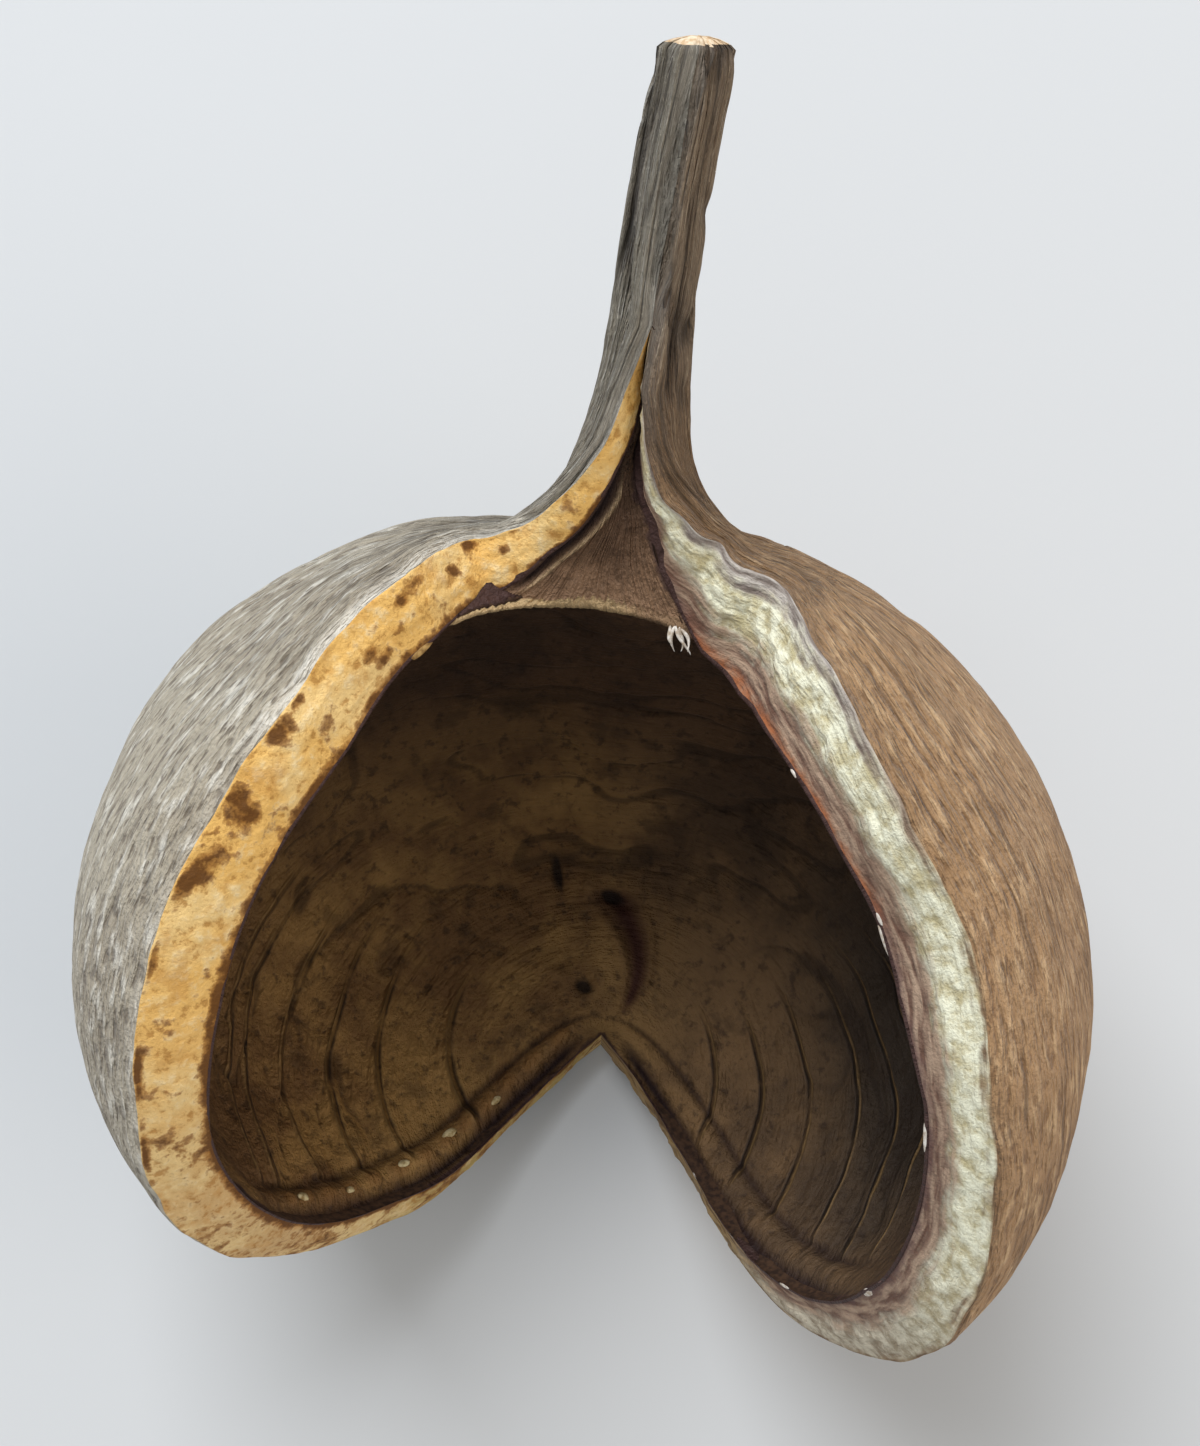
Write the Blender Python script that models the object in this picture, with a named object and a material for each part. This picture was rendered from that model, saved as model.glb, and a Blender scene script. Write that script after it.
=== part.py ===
"""A dried buddha nut pod, gaping open: two round woody valves that grew as one
piece with their stalk. It lies on its back with the mouth up. +Y is the way
the stalk points, +Z is up, and the origin is in the middle of the flat spot
that the pod rests on."""

import math

import bmesh
import bpy
import numpy as np

# Lengths are in metres and angles in degrees, unless a comment says otherwise.
# The pod's own axes: across the two valves, along the stalk, and out of the mouth.
STALK_RISE = 33.0
STALK_LEAN = 3.8
BELLY_CENTRE = (0.0015, -0.0127, 0.0530)

# Each valve is part of a sphere, given in the pod's own axes.
LEFT_CENTRE = (-0.0134, 0.0020, -0.0025)
LEFT_RADIUS = 0.0543
RIGHT_CENTRE = (0.0008, 0.0005, 0.0044)
RIGHT_RADIUS = 0.0589
VALVE_BLEND = 0.014

# Low swellings of the skin: degrees from the stalk, degrees round from the middle
# of the back, height and width in degrees. The first is under the pod's weight,
# the others fill the shoulders beside the stalk.
SWELLINGS = (
    (102.0, 0.0, 0.0030, 22.0),
    (24.0, -110.0, 0.0030, 15.0),
    (30.0, 112.0, 0.0015, 14.0),
)

# The stalk, and the flare that joins it to the shoulders.
SHOULDER_RADIUS = 0.0600
FLARE_RADIUS = 0.0160
STALK_RADIUS = 0.0038
STALK_ROOT_EXTRA = 0.0009
STALK_ROOT_FADE = 0.014
FLARE_LEFT_EXTRA = 0.0024
FLARE_LEFT_GROWS = (-0.012, 0.005)
FLARE_LEFT_ENDS = (0.010, 0.024)
FLARE_TO_VALVES = 0.008
STALK_TIP = 0.112
STALK_BEND = 0.0030
STALK_BEND_FROM = 0.075
CUT_END_INSET = 0.86
CUT_END_STEP = 0.0005
CUT_END_CROWN = 0.0008

# The split, as lengths along the skin: its top in the stalk, where it opens, and
# the end of the neck, which comes sooner on the right.
SPLIT_TOP = -0.0150
SPLIT_OPENS = (-0.014, 0.004)
SPLIT_SHUT_GAP = 0.08
NECK_END = 0.0270
NECK_SLANT = 0.0070
RIM_RUN = 0.180

# The rim where the valves parted: degrees from the stalk, then degrees round
# from the middle of the back, down one side and up the lower margin to the notch.
NOTCH = 136.0
LEFT_NECK = (
    (-0.0150, 180.0),
    (-0.0075, 146.0),
    (-0.0015, 131.0),
    (0.0040, 110.0),
    (0.0105, 89.0),
    (0.0175, 89.5),
    (0.0245, 106.5),
    (0.0270, 110.5),
)
LEFT_RIM = (
    (34.0, 115.5),
    (45.0, 120.5),
    (57.0, 122.5),
    (75.0, 123.5),
    (92.0, 123.0),
    (108.0, 119.5),
    (121.0, 115.5),
    (136.0, 104.0),
    (147.0, 86.0),
    (152.5, 64.0),
    (149.0, 29.0),
    (141.5, 9.5),
)
RIGHT_NECK = (
    (-0.0150, 180.0),
    (-0.0080, 188.0),
    (-0.0025, 174.0),
    (0.0015, 152.5),
    (0.0050, 129.5),
    (0.0100, 111.0),
    (0.0160, 112.0),
    (0.0270, 132.0),
)
RIGHT_RIM = (
    (26.0, 132.0),
    (34.0, 136.5),
    (45.0, 138.0),
    (60.0, 136.0),
    (76.0, 137.0),
    (96.0, 135.0),
    (110.0, 133.0),
    (122.0, 128.5),
    (141.0, 115.5),
    (151.0, 101.0),
    (156.5, 73.0),
    (152.5, 34.0),
    (144.0, 13.0),
)

# Width of each parted face: length along the rim from the neck, then width.
LEFT_WALL = (
    (-0.015, 0.0000),
    (-0.008, 0.0044),
    (0.000, 0.0042),
    (0.010, 0.0057),
    (0.018, 0.0081),
    (0.027, 0.0094),
    (0.045, 0.0107),
    (0.081, 0.0106),
    (0.100, 0.0091),
    (0.125, 0.0088),
    (0.145, 0.0072),
    (0.207, 0.0085),
)
RIGHT_WALL = (
    (-0.015, 0.0000),
    (-0.008, 0.0042),
    (0.000, 0.0074),
    (0.005, 0.0066),
    (0.009, 0.0098),
    (0.013, 0.0134),
    (0.020, 0.0155),
    (0.036, 0.0144),
    (0.050, 0.0127),
    (0.072, 0.0127),
    (0.085, 0.0105),
    (0.100, 0.0106),
    (0.125, 0.0106),
    (0.145, 0.0080),
    (0.207, 0.0085),
)

# Wall thickness down the middle of the back: it is thinnest for a share of the way
# from the ceiling behind the lip to the notch, and thickens evenly to the rims.
BACK_WALL = ((0.0, 0.0100), (0.25, 0.0080), (0.80, 0.0080), (1.0, 0.0085))
NOTCH_WALL = BACK_WALL[-1][1]
EDGE_WALL_CURVE = 2.5
CEILING_FROM = 22.0

# The panel between the parted faces in the neck, and the lip where it ends.
LIP_AT = 0.0153
LIP_LEFT_LATER = 0.0087
LIP_LEFT_CURVE = 1.6
LIP_LENGTH = 0.0020
PANEL_SAG = 0.0020
PANEL_WIDTH = 0.030

# Lengthwise furrows of the dried skin: waves from the back to the rim, share, phase.
FLUTES = ((7, 1.0, 0.0), (11, 0.5, 1.1))
FLUTE_DEPTH = 0.0005
FLUTES_FADE = (-0.004, 0.030)
FURROWS = ((9, 1.0, 0.0), (13, 0.6, 0.7))
FURROW_DEPTH = 0.00035
FURROWS_GROW = (0.004, 0.030)
FURROWS_FADE = (0.060, 0.150)
FURROWS_LOST = 0.7
SWAY = 0.5
SWAY_LENGTH = 0.021

# Relief of the lining: a keel down the back where the two lobes meet, and the
# ridges that the flat seeds left in each lobe, as lengths along the rim. They run
# across the lobe, from near the keel to near the rim.
KEEL_HEIGHT = 0.0013
KEEL_WIDTH = 0.10
KEEL_GROWS = (0.42, 0.60)
LINING_RELIEF_ENDS = (0.86, 0.97)
LEFT_SEED_RIDGES = (0.1305, 0.1395, 0.1485, 0.1620, 0.1755)
RIGHT_SEED_RIDGES = (0.1440, 0.1530, 0.1620, 0.1845)
SEED_RIDGE_HEIGHT = 0.0008
SEED_RIDGE_WIDTH = 0.0022
SEED_RIDGES_RISE = (0.28, 0.45)
SEED_RIDGES_FALL = (0.80, 0.92)

# How finely the surface is divided.
SKIN_STEPS = 44
LINING_STEPS = 44
RIM_STEPS = 3
STALK_ROWS = 10
NECK_ROWS = 14
BOWL_ROWS = 40
SPLINE_STEPS = 24

POD_BROWN = (0.27, 0.19, 0.13, 1.0)


def pod_axes():
    """The pod's own axes as columns in world space."""
    rise = math.radians(STALK_RISE)
    lean = math.radians(-STALK_LEAN)
    tilt = np.array(
        [
            [1.0, 0.0, 0.0],
            [0.0, math.cos(rise), -math.sin(rise)],
            [0.0, math.sin(rise), math.cos(rise)],
        ]
    )
    turn = np.array(
        [
            [math.cos(lean), -math.sin(lean), 0.0],
            [math.sin(lean), math.cos(lean), 0.0],
            [0.0, 0.0, 1.0],
        ]
    )
    return turn @ tilt


def smooth(low, high, value):
    """0 below low, 1 above high, and an even curve between them."""
    t = np.clip((np.asarray(value, float) - low) / (high - low), 0.0, 1.0)
    return t * t * (3.0 - 2.0 * t)


def unit(vector):
    return vector / np.linalg.norm(vector, axis=-1, keepdims=True)


def direction(from_stalk, round_back):
    """The unit direction at an angle from the stalk and an angle round from the back."""
    psi = np.radians(from_stalk)
    az = np.radians(round_back)
    across = np.sin(psi) * np.sin(az)
    along = np.cos(psi) * np.ones_like(az)
    out = -np.sin(psi) * np.cos(az)
    return np.stack([across, along, out], axis=-1)


def sphere_reach(rays, centre, radius):
    """How far a ray from the belly's centre goes to reach one valve's sphere."""
    c = np.array(centre)
    toward = rays @ c
    return toward + np.sqrt(toward**2 - c @ c + radius**2)


def reach(rays):
    """Distance from the belly's centre to the outside of the two valves."""
    left = sphere_reach(rays, LEFT_CENTRE, LEFT_RADIUS)
    right = sphere_reach(rays, RIGHT_CENTRE, RIGHT_RADIUS)
    share = smooth(-VALVE_BLEND, VALVE_BLEND, rays[..., 0] * SHOULDER_RADIUS)
    swollen = 0.0
    for psi, az, height, width in SWELLINGS:
        away = np.degrees(np.arccos(np.clip(rays @ direction(psi, np.float64(az)), -1.0, 1.0)))
        swollen = swollen + height * np.exp(-((away / width) ** 2))
    return left + (right - left) * share + swollen


def flare_measures():
    """Where the flare's arc starts and ends, as lengths along the skin and heights."""
    root = STALK_RADIUS + STALK_ROOT_EXTRA
    side = root + FLARE_RADIUS
    height = math.sqrt((SHOULDER_RADIUS + FLARE_RADIUS) ** 2 - side**2)
    shoulder_angle = math.asin(side / (SHOULDER_RADIUS + FLARE_RADIUS))
    shoulder = SHOULDER_RADIUS * shoulder_angle
    root_at = shoulder - FLARE_RADIUS * (math.pi / 2 - shoulder_angle)
    return side, height, shoulder, root_at


def stalk_radius(height, flare_height):
    fade = np.exp(-np.maximum(height - flare_height, 0.0) / STALK_ROOT_FADE)
    return STALK_RADIUS + STALK_ROOT_EXTRA * fade


def profile(along):
    """Height up the stalk's axis and distance from it, for a length along the skin."""
    side, flare_height, shoulder, root_at = flare_measures()
    angle = along / SHOULDER_RADIUS
    turn = (along - root_at) / FLARE_RADIUS
    up = flare_height + root_at - along
    parts = [along >= shoulder, along >= root_at]
    heights = [SHOULDER_RADIUS * np.cos(angle), flare_height - FLARE_RADIUS * np.sin(turn)]
    radii = [SHOULDER_RADIUS * np.sin(angle), side - FLARE_RADIUS * np.cos(turn)]
    return np.select(parts, heights, up), np.select(parts, radii, stalk_radius(up, flare_height))


def tip_along():
    """The stalk's cut end, as a length along the skin."""
    _, flare_height, _, root_at = flare_measures()
    return root_at - (STALK_TIP - flare_height)


def neck_point(along, round_back):
    """Skin points of the stalk and the flare, and which way is out of the skin there."""
    _, _, shoulder, root_at = flare_measures()
    height, radius = profile(along)
    az = np.radians(round_back)
    spoke = np.stack([np.sin(az), np.zeros_like(az), -np.cos(az)], axis=-1)
    widened = smooth(*FLARE_LEFT_GROWS, along) * (1.0 - smooth(*FLARE_LEFT_ENDS, along))
    radius = radius + FLARE_LEFT_EXTRA * widened * np.maximum(0.0, -spoke[:, 0])
    nominal = spoke * radius[:, None]
    nominal[:, 1] = height
    rays = unit(nominal)
    belly = smooth(shoulder - FLARE_TO_VALVES, NECK_END - NECK_SLANT, along)
    point = nominal * (1.0 + belly * (reach(rays) / SHOULDER_RADIUS - 1.0))[:, None]
    bend = np.maximum(0.0, height - STALK_BEND_FROM) / (STALK_TIP - STALK_BEND_FROM)
    point[:, 0] += STALK_BEND * bend**2
    outward = unit(spoke + (rays - spoke) * smooth(root_at, shoulder, along)[:, None])
    return point, outward


def spline(points, count):
    """Points evenly spaced along a smooth curve through the given points."""
    p = np.array(points, float)
    p = np.vstack([2 * p[0] - p[1], p, 2 * p[-1] - p[-2]])
    steps = np.linspace(0.0, 1.0, SPLINE_STEPS, endpoint=False)[:, None]
    runs = []
    for a, b, c, d in zip(p, p[1:], p[2:], p[3:]):
        bend = 2 * a - 5 * b + 4 * c - d
        turn = 3 * b - a - 3 * c + d
        runs.append(0.5 * (2 * b + (c - a) * steps + bend * steps**2 + turn * steps**3))
    fine = np.vstack([*runs, p[-2][None]])
    length = np.concatenate([[0.0], np.cumsum(np.linalg.norm(np.diff(fine, axis=0), axis=1))])
    wanted = np.linspace(0.0, length[-1], count)
    return np.stack([np.interp(wanted, length, fine[:, k]) for k in range(3)], axis=1)


def rim_directions(start, rim, side):
    """Directions of one rim from the end of the neck to the notch."""
    table = [start, *rim, (NOTCH, 0.0)]
    chain = [direction(psi, side * np.float64(az)) for psi, az in table]
    return unit(spline(chain, BOWL_ROWS + 1))


def arc_through(left, middle, right, steps):
    """Unit directions on the circle through three directions; the middle one is halfway."""
    normal = unit(np.cross(middle - left, right - left))
    centre = normal * (normal @ left)
    first = unit(left - centre)
    second = np.cross(normal, first)

    def angle(ray):
        turn = math.atan2((ray - centre) @ second, (ray - centre) @ first)
        return turn % (2 * math.pi)

    radius = np.linalg.norm(left - centre)
    half = steps // 2
    to_middle = np.linspace(0.0, angle(middle), half + 1)
    to_right = np.linspace(angle(middle), angle(right), half + 1)
    turns = np.concatenate([to_middle, to_right[1:]])
    ring = np.outer(np.cos(turns), first) + np.outer(np.sin(turns), second)
    return centre + radius * ring


def waves(table, v, sway):
    """A sum of cosine waves across the skin, swaying a little along it."""
    total = np.zeros_like(v)
    for count, share, phase in table:
        total += share * np.cos(math.pi * count * v + phase + sway * count / table[0][0])
    return total


def skin_relief(along):
    """Lengthwise furrows: strong flutes on the stalk that fade over the valves."""
    v = np.linspace(-1.0, 1.0, SKIN_STEPS + 1)
    sway = SWAY * math.sin(along / SWAY_LENGTH)
    on_stalk = 1.0 - float(smooth(*FLUTES_FADE, along))
    on_valves = float(smooth(*FURROWS_GROW, along))
    on_valves *= 1.0 - FURROWS_LOST * float(smooth(*FURROWS_FADE, along))
    flutes = FLUTE_DEPTH * on_stalk * waves(FLUTES, v, sway)
    return flutes + FURROW_DEPTH * on_valves * waves(FURROWS, v, sway)


def wall_at(along, table):
    """Width of a parted face, or the thickness of the back, at one place."""
    return np.interp(along, *zip(*table))


def neck_row(along):
    """One section of the split neck: skin, and the inner edges of the two parted faces."""
    v = np.linspace(-1.0, 1.0, SKIN_STEPS + 1)
    slant = NECK_SLANT * float(smooth(0.0, NECK_END, along))
    skin_along = along - slant * np.maximum(v, 0.0) ** 2
    left_az = np.interp(along, *zip(*LEFT_NECK))
    right_az = np.interp(along - slant, *zip(*RIGHT_NECK))
    round_back = np.where(v < 0.0, left_az * v, right_az * v)
    skin, outward = neck_point(skin_along, round_back)
    wall = np.array([wall_at(along, LEFT_WALL), wall_at(along - slant, RIGHT_WALL)])
    ends = skin[[0, -1]] - outward[[0, -1]] * wall[:, None]
    middle = ends.mean(axis=0)
    apart = SPLIT_SHUT_GAP + (1.0 - SPLIT_SHUT_GAP) * float(smooth(*SPLIT_OPENS, along))
    ends = middle + (ends - middle) * apart
    return skin + outward * skin_relief(along)[:, None], ends[0], ends[1]


def panel(left, right):
    """The fibrous panel between the parted faces, hollowed a little in the middle."""
    v = np.linspace(1.0, -1.0, LINING_STEPS + 1)
    chord = (left + right) / 2 + np.outer(v, (right - left) / 2)
    chord[:, 2] -= PANEL_SAG * np.linalg.norm(right - left) / PANEL_WIDTH * (1.0 - v**2)
    return chord


def seed_ridges(along, places):
    """1 on the top of a seed ridge and 0 between the ridges of one lobe."""
    return sum(math.exp(-(((along - place) / SEED_RIDGE_WIDTH) ** 2)) for place in places)


def lining_relief(v, down):
    """How far the lining stands up: the keel down the middle and the seed ridges."""
    along = NECK_END + RIM_RUN * (1.0 + down * (BOWL_ROWS - 1)) / BOWL_ROWS
    ends = 1.0 - float(smooth(*LINING_RELIEF_ENDS, down))
    keel = KEEL_HEIGHT * float(smooth(*KEEL_GROWS, down)) * np.exp(-((v / KEEL_WIDTH) ** 2))
    left = seed_ridges(along, LEFT_SEED_RIDGES)
    right = seed_ridges(along, RIGHT_SEED_RIDGES)
    reached = smooth(*SEED_RIDGES_RISE, np.abs(v)) * (1.0 - smooth(*SEED_RIDGES_FALL, np.abs(v)))
    ridges = reached * np.where(v > 0.0, left, right)
    return ends * (keel + SEED_RIDGE_HEIGHT * ridges)


def lining(left, middle, right, down):
    """The cavity's inner surface across the pod, from the right rim to the left one."""
    arc = arc_through(unit(right), unit(middle), unit(left), LINING_STEPS)
    v = np.linspace(-1.0, 1.0, LINING_STEPS + 1)
    depths = [float(reach(unit(p)) - np.linalg.norm(p)) for p in (right, middle, left)]
    edge = np.where(v < 0.0, depths[0], depths[2])
    depth = depths[1] + (edge - depths[1]) * np.abs(v) ** EDGE_WALL_CURVE
    return arc * (reach(arc) - depth - lining_relief(v, down))[:, None]


def neck_inner(left, right, along):
    """The inside of one section of the neck. Past the panel's lip, which comes later on
    the left, the surface turns under into the cavity and back to the ceiling."""
    top = panel(left, right)
    if along <= LIP_AT:
        return top
    _, lip_left, lip_right = neck_row(LIP_AT)
    lip = panel(lip_left, lip_right)[LINING_STEPS // 2]
    ray = direction(CEILING_FROM, np.float64(0.0))
    ceiling = ray * (reach(ray) - wall_at(0.0, BACK_WALL))
    middle = lip + (ceiling - lip) * (along - LIP_AT) / (NECK_END - LIP_AT)
    under = lining(left, middle, right, 0.0)
    v = np.linspace(1.0, -1.0, LINING_STEPS + 1)
    lip_along = LIP_AT + LIP_LEFT_LATER * np.maximum(-v, 0.0) ** LIP_LEFT_CURVE
    past = np.clip((along - lip_along) / LIP_LENGTH, 0.0, 1.0)
    return top + (under - top) * past[:, None]


def neck_rows():
    """The sections from the split's top in the stalk to the end of the neck."""
    rows = []
    for along in np.linspace(SPLIT_TOP, NECK_END, NECK_ROWS + 1)[1:]:
        skin, left, right = neck_row(along)
        rows.append((skin, neck_inner(left, right, along)))
    return rows


def bowl_rows():
    """The sections of the two valves from the end of the neck to the notch."""
    start = math.degrees(NECK_END / SHOULDER_RADIUS)
    slanted = NECK_END - NECK_SLANT
    right_start = (math.degrees(slanted / SHOULDER_RADIUS), np.interp(slanted, *zip(*RIGHT_NECK)))
    lefts = rim_directions((start, LEFT_NECK[-1][1]), LEFT_RIM, -1.0)
    rights = rim_directions(right_start, RIGHT_RIM, 1.0)
    rows = []
    for k in range(1, BOWL_ROWS):
        t = k / BOWL_ROWS
        back = direction(start + (NOTCH - start) * t, np.float64(0.0))
        rays = arc_through(lefts[k], back, rights[k], SKIN_STEPS)
        along = NECK_END + t * RIM_RUN
        skin = rays * (reach(rays) + skin_relief(along))[:, None]
        left = lefts[k] * (reach(lefts[k]) - wall_at(along, LEFT_WALL))
        right = rights[k] * (reach(rights[k]) - wall_at(along, RIGHT_WALL))
        down = (k - 1) / (BOWL_ROWS - 1)
        ray = direction(CEILING_FROM + (NOTCH - CEILING_FROM) * down, np.float64(0.0))
        middle = ray * (reach(ray) - wall_at(down, BACK_WALL))
        rows.append((skin, lining(left, middle, right, down)))
    return rows


def between(a, b):
    """The points of a parted face between its outer and inner edges."""
    return [a + (b - a) * k / RIM_STEPS for k in range(1, RIM_STEPS)]


def section(skin, inner):
    """One closed loop: skin, right parted face, lining, left parted face."""
    return [*skin, *between(skin[-1], inner[0]), *inner, *between(inner[-1], skin[0])]


def to_world(points):
    return np.asarray(points) @ pod_axes().T + np.array(BELLY_CENTRE)


def rested(points):
    """Nothing of the back goes below the flat spot."""
    points = to_world(points)
    points[:, 2] = np.maximum(points[:, 2], 0.0)
    return points


def add_points(bm, points):
    return [bm.verts.new(p) for p in rested(points)]


def join_loops(bm, first, second, closed):
    count = len(first) if closed else len(first) - 1
    for i in range(count):
        j = (i + 1) % len(first)
        bm.faces.new((first[i], first[j], second[j], second[i]))


def join_fan(bm, hub, chain):
    for a, b in zip(chain, chain[1:]):
        bm.faces.new((hub, a, b))


def build_stalk(bm):
    """The round stalk from its cut end to where the split starts. Returns its last ring."""
    az = np.linspace(-180.0, 180.0, SKIN_STEPS + 1)[:-1]
    tip = tip_along()
    previous = None
    for along in np.linspace(tip, SPLIT_TOP, STALK_ROWS + 1):
        skin, outward = neck_point(np.full(SKIN_STEPS, along), az)
        ring = skin + outward * skin_relief(along)[:-1, None]
        if previous is None:
            centre = ring.mean(axis=0)
            inset = centre + (ring - centre) * CUT_END_INSET + np.array([0.0, CUT_END_STEP, 0.0])
            hub = add_points(bm, [centre + np.array([0.0, CUT_END_CROWN, 0.0])])[0]
            cap = add_points(bm, inset)
            join_fan(bm, hub, [*cap, cap[0]])
            previous = cap
        loop = add_points(bm, ring)
        join_loops(bm, previous, loop, closed=True)
        previous = loop
    return previous


def build_body(bm, ring):
    """The split neck and the two valves, from the stalk's last ring to the notch."""
    rows = [add_points(bm, section(*row)) for row in [*neck_rows(), *bowl_rows()]]
    first = rows[0]
    join_loops(bm, [*ring, ring[0]], first[: SKIN_STEPS + 1], closed=False)
    join_fan(bm, ring[0], [*first[SKIN_STEPS:], first[0]])
    for before, after in zip(rows, rows[1:]):
        join_loops(bm, before, after, closed=True)
    ray = direction(NOTCH, np.float64(0.0))
    outer = ray * reach(ray)
    inner = ray * (reach(ray) - NOTCH_WALL)
    edge = add_points(bm, [outer, *between(outer, inner), inner])
    last = rows[-1]
    lining_from = SKIN_STEPS + RIM_STEPS
    lining_to = lining_from + LINING_STEPS
    join_fan(bm, edge[0], last[: SKIN_STEPS + 1])
    join_loops(bm, last[SKIN_STEPS : lining_from + 1], edge, closed=False)
    join_fan(bm, edge[-1], last[lining_from : lining_to + 1])
    join_loops(bm, [*last[lining_to:], last[0]], edge[::-1], closed=False)


def woody_material():
    """Dry velvety wood and skin."""
    material = bpy.data.materials.new("dry_woody_husk")
    material.use_nodes = True
    shader = material.node_tree.nodes["Principled BSDF"]
    shader.inputs["Base Color"].default_value = POD_BROWN
    shader.inputs["Roughness"].default_value = 0.85
    shader.inputs["Metallic"].default_value = 0.0
    return material


def build_pod():
    bm = bmesh.new()
    ring = build_stalk(bm)
    build_body(bm, ring)
    bmesh.ops.triangulate(bm, faces=bm.faces)
    bmesh.ops.recalc_face_normals(bm, faces=bm.faces)
    mesh = bpy.data.meshes.new("pod")
    bm.to_mesh(mesh)
    bm.free()
    mesh.materials.append(woody_material())
    mesh.shade_smooth()
    mesh.set_sharp_from_angle(angle=math.radians(50.0))
    pod = bpy.data.objects.new("pod", mesh)
    bpy.context.scene.collection.objects.link(pod)


def clear_scene():
    for item in list(bpy.data.objects):
        bpy.data.objects.remove(item, do_unlink=True)


clear_scene()
build_pod()
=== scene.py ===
"""The looks of a dried buddha nut pod that lies on its back, gaping open. The husk and
the lining repeat the forms of the CAD solid with finer divisions and low relief."""

import itertools
import math

import bmesh
import bpy
import numpy as np
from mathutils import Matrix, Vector


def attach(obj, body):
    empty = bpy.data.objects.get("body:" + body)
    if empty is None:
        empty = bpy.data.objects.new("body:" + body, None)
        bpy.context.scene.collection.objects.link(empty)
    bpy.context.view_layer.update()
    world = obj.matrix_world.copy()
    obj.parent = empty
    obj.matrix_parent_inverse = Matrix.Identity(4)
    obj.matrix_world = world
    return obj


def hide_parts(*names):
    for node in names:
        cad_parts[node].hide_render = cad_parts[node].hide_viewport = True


# Lengths are in metres and angles in degrees, unless a comment says otherwise.
# The pod's own axes: across the two valves, along the stalk, and out of the mouth.
STALK_RISE = 33.0
STALK_LEAN = 3.8
BELLY_CENTRE = (0.0015, -0.0127, 0.0530)

# Each valve is part of a sphere, given in the pod's own axes.
LEFT_CENTRE = (-0.0134, 0.0020, -0.0025)
LEFT_RADIUS = 0.0543
RIGHT_CENTRE = (0.0008, 0.0005, 0.0044)
RIGHT_RADIUS = 0.0589
VALVE_BLEND = 0.014

# Low swellings of the skin: degrees from the stalk, degrees round from the middle
# of the back, height and width in degrees. The first is under the pod's weight,
# the others fill the shoulders beside the stalk.
SWELLINGS = (
    (102.0, 0.0, 0.0030, 22.0),
    (24.0, -110.0, 0.0030, 15.0),
    (30.0, 112.0, 0.0015, 14.0),
)

# The stalk, and the flare that joins it to the shoulders.
SHOULDER_RADIUS = 0.0600
FLARE_RADIUS = 0.0160
STALK_RADIUS = 0.0038
STALK_ROOT_EXTRA = 0.0009
STALK_ROOT_FADE = 0.014
FLARE_LEFT_EXTRA = 0.0024
FLARE_LEFT_GROWS = (-0.012, 0.005)
FLARE_LEFT_ENDS = (0.010, 0.024)
FLARE_TO_VALVES = 0.008
STALK_TIP = 0.112
STALK_BEND = 0.0030
STALK_BEND_FROM = 0.075
CUT_END_INSET = 0.86
CUT_END_STEP = 0.0005
CUT_END_CROWN = 0.0008

# The split, as lengths along the skin: its top in the stalk, where it opens, and
# the end of the neck, which comes sooner on the right.
SPLIT_TOP = -0.0150
SPLIT_OPENS = (-0.014, 0.004)
SPLIT_SHUT_GAP = 0.08
NECK_END = 0.0270
NECK_SLANT = 0.0070
RIM_RUN = 0.180

# The rim where the valves parted: degrees from the stalk, then degrees round
# from the middle of the back, down one side and up the lower margin to the notch.
NOTCH = 136.0
LEFT_NECK = (
    (-0.0150, 180.0),
    (-0.0075, 146.0),
    (-0.0015, 131.0),
    (0.0040, 110.0),
    (0.0105, 89.0),
    (0.0175, 89.5),
    (0.0245, 106.5),
    (0.0270, 110.5),
)
LEFT_RIM = (
    (34.0, 115.5),
    (45.0, 120.5),
    (57.0, 122.5),
    (75.0, 123.5),
    (92.0, 123.0),
    (108.0, 119.5),
    (121.0, 115.5),
    (136.0, 104.0),
    (147.0, 86.0),
    (152.5, 64.0),
    (149.0, 29.0),
    (141.5, 9.5),
)
RIGHT_NECK = (
    (-0.0150, 180.0),
    (-0.0080, 188.0),
    (-0.0025, 174.0),
    (0.0015, 152.5),
    (0.0050, 129.5),
    (0.0100, 111.0),
    (0.0160, 112.0),
    (0.0270, 132.0),
)
RIGHT_RIM = (
    (26.0, 132.0),
    (34.0, 136.5),
    (45.0, 138.0),
    (60.0, 136.0),
    (76.0, 137.0),
    (96.0, 135.0),
    (110.0, 133.0),
    (122.0, 128.5),
    (141.0, 115.5),
    (151.0, 101.0),
    (156.5, 73.0),
    (152.5, 34.0),
    (144.0, 13.0),
)

# Width of each parted face: length along the rim from the neck, then width.
LEFT_WALL = (
    (-0.015, 0.0000),
    (-0.008, 0.0044),
    (0.000, 0.0042),
    (0.010, 0.0057),
    (0.018, 0.0081),
    (0.027, 0.0094),
    (0.045, 0.0107),
    (0.081, 0.0106),
    (0.100, 0.0091),
    (0.125, 0.0088),
    (0.145, 0.0072),
    (0.207, 0.0085),
)
RIGHT_WALL = (
    (-0.015, 0.0000),
    (-0.008, 0.0042),
    (0.000, 0.0074),
    (0.005, 0.0066),
    (0.009, 0.0098),
    (0.013, 0.0134),
    (0.020, 0.0155),
    (0.036, 0.0144),
    (0.050, 0.0127),
    (0.072, 0.0127),
    (0.085, 0.0105),
    (0.100, 0.0106),
    (0.125, 0.0106),
    (0.145, 0.0080),
    (0.207, 0.0085),
)

# Wall thickness down the middle of the back: it is thinnest for a share of the way
# from the ceiling behind the lip to the notch, and thickens evenly to the rims.
BACK_WALL = ((0.0, 0.0100), (0.25, 0.0080), (0.80, 0.0080), (1.0, 0.0085))
NOTCH_WALL = BACK_WALL[-1][1]
EDGE_WALL_CURVE = 2.5
CEILING_FROM = 22.0

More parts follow.
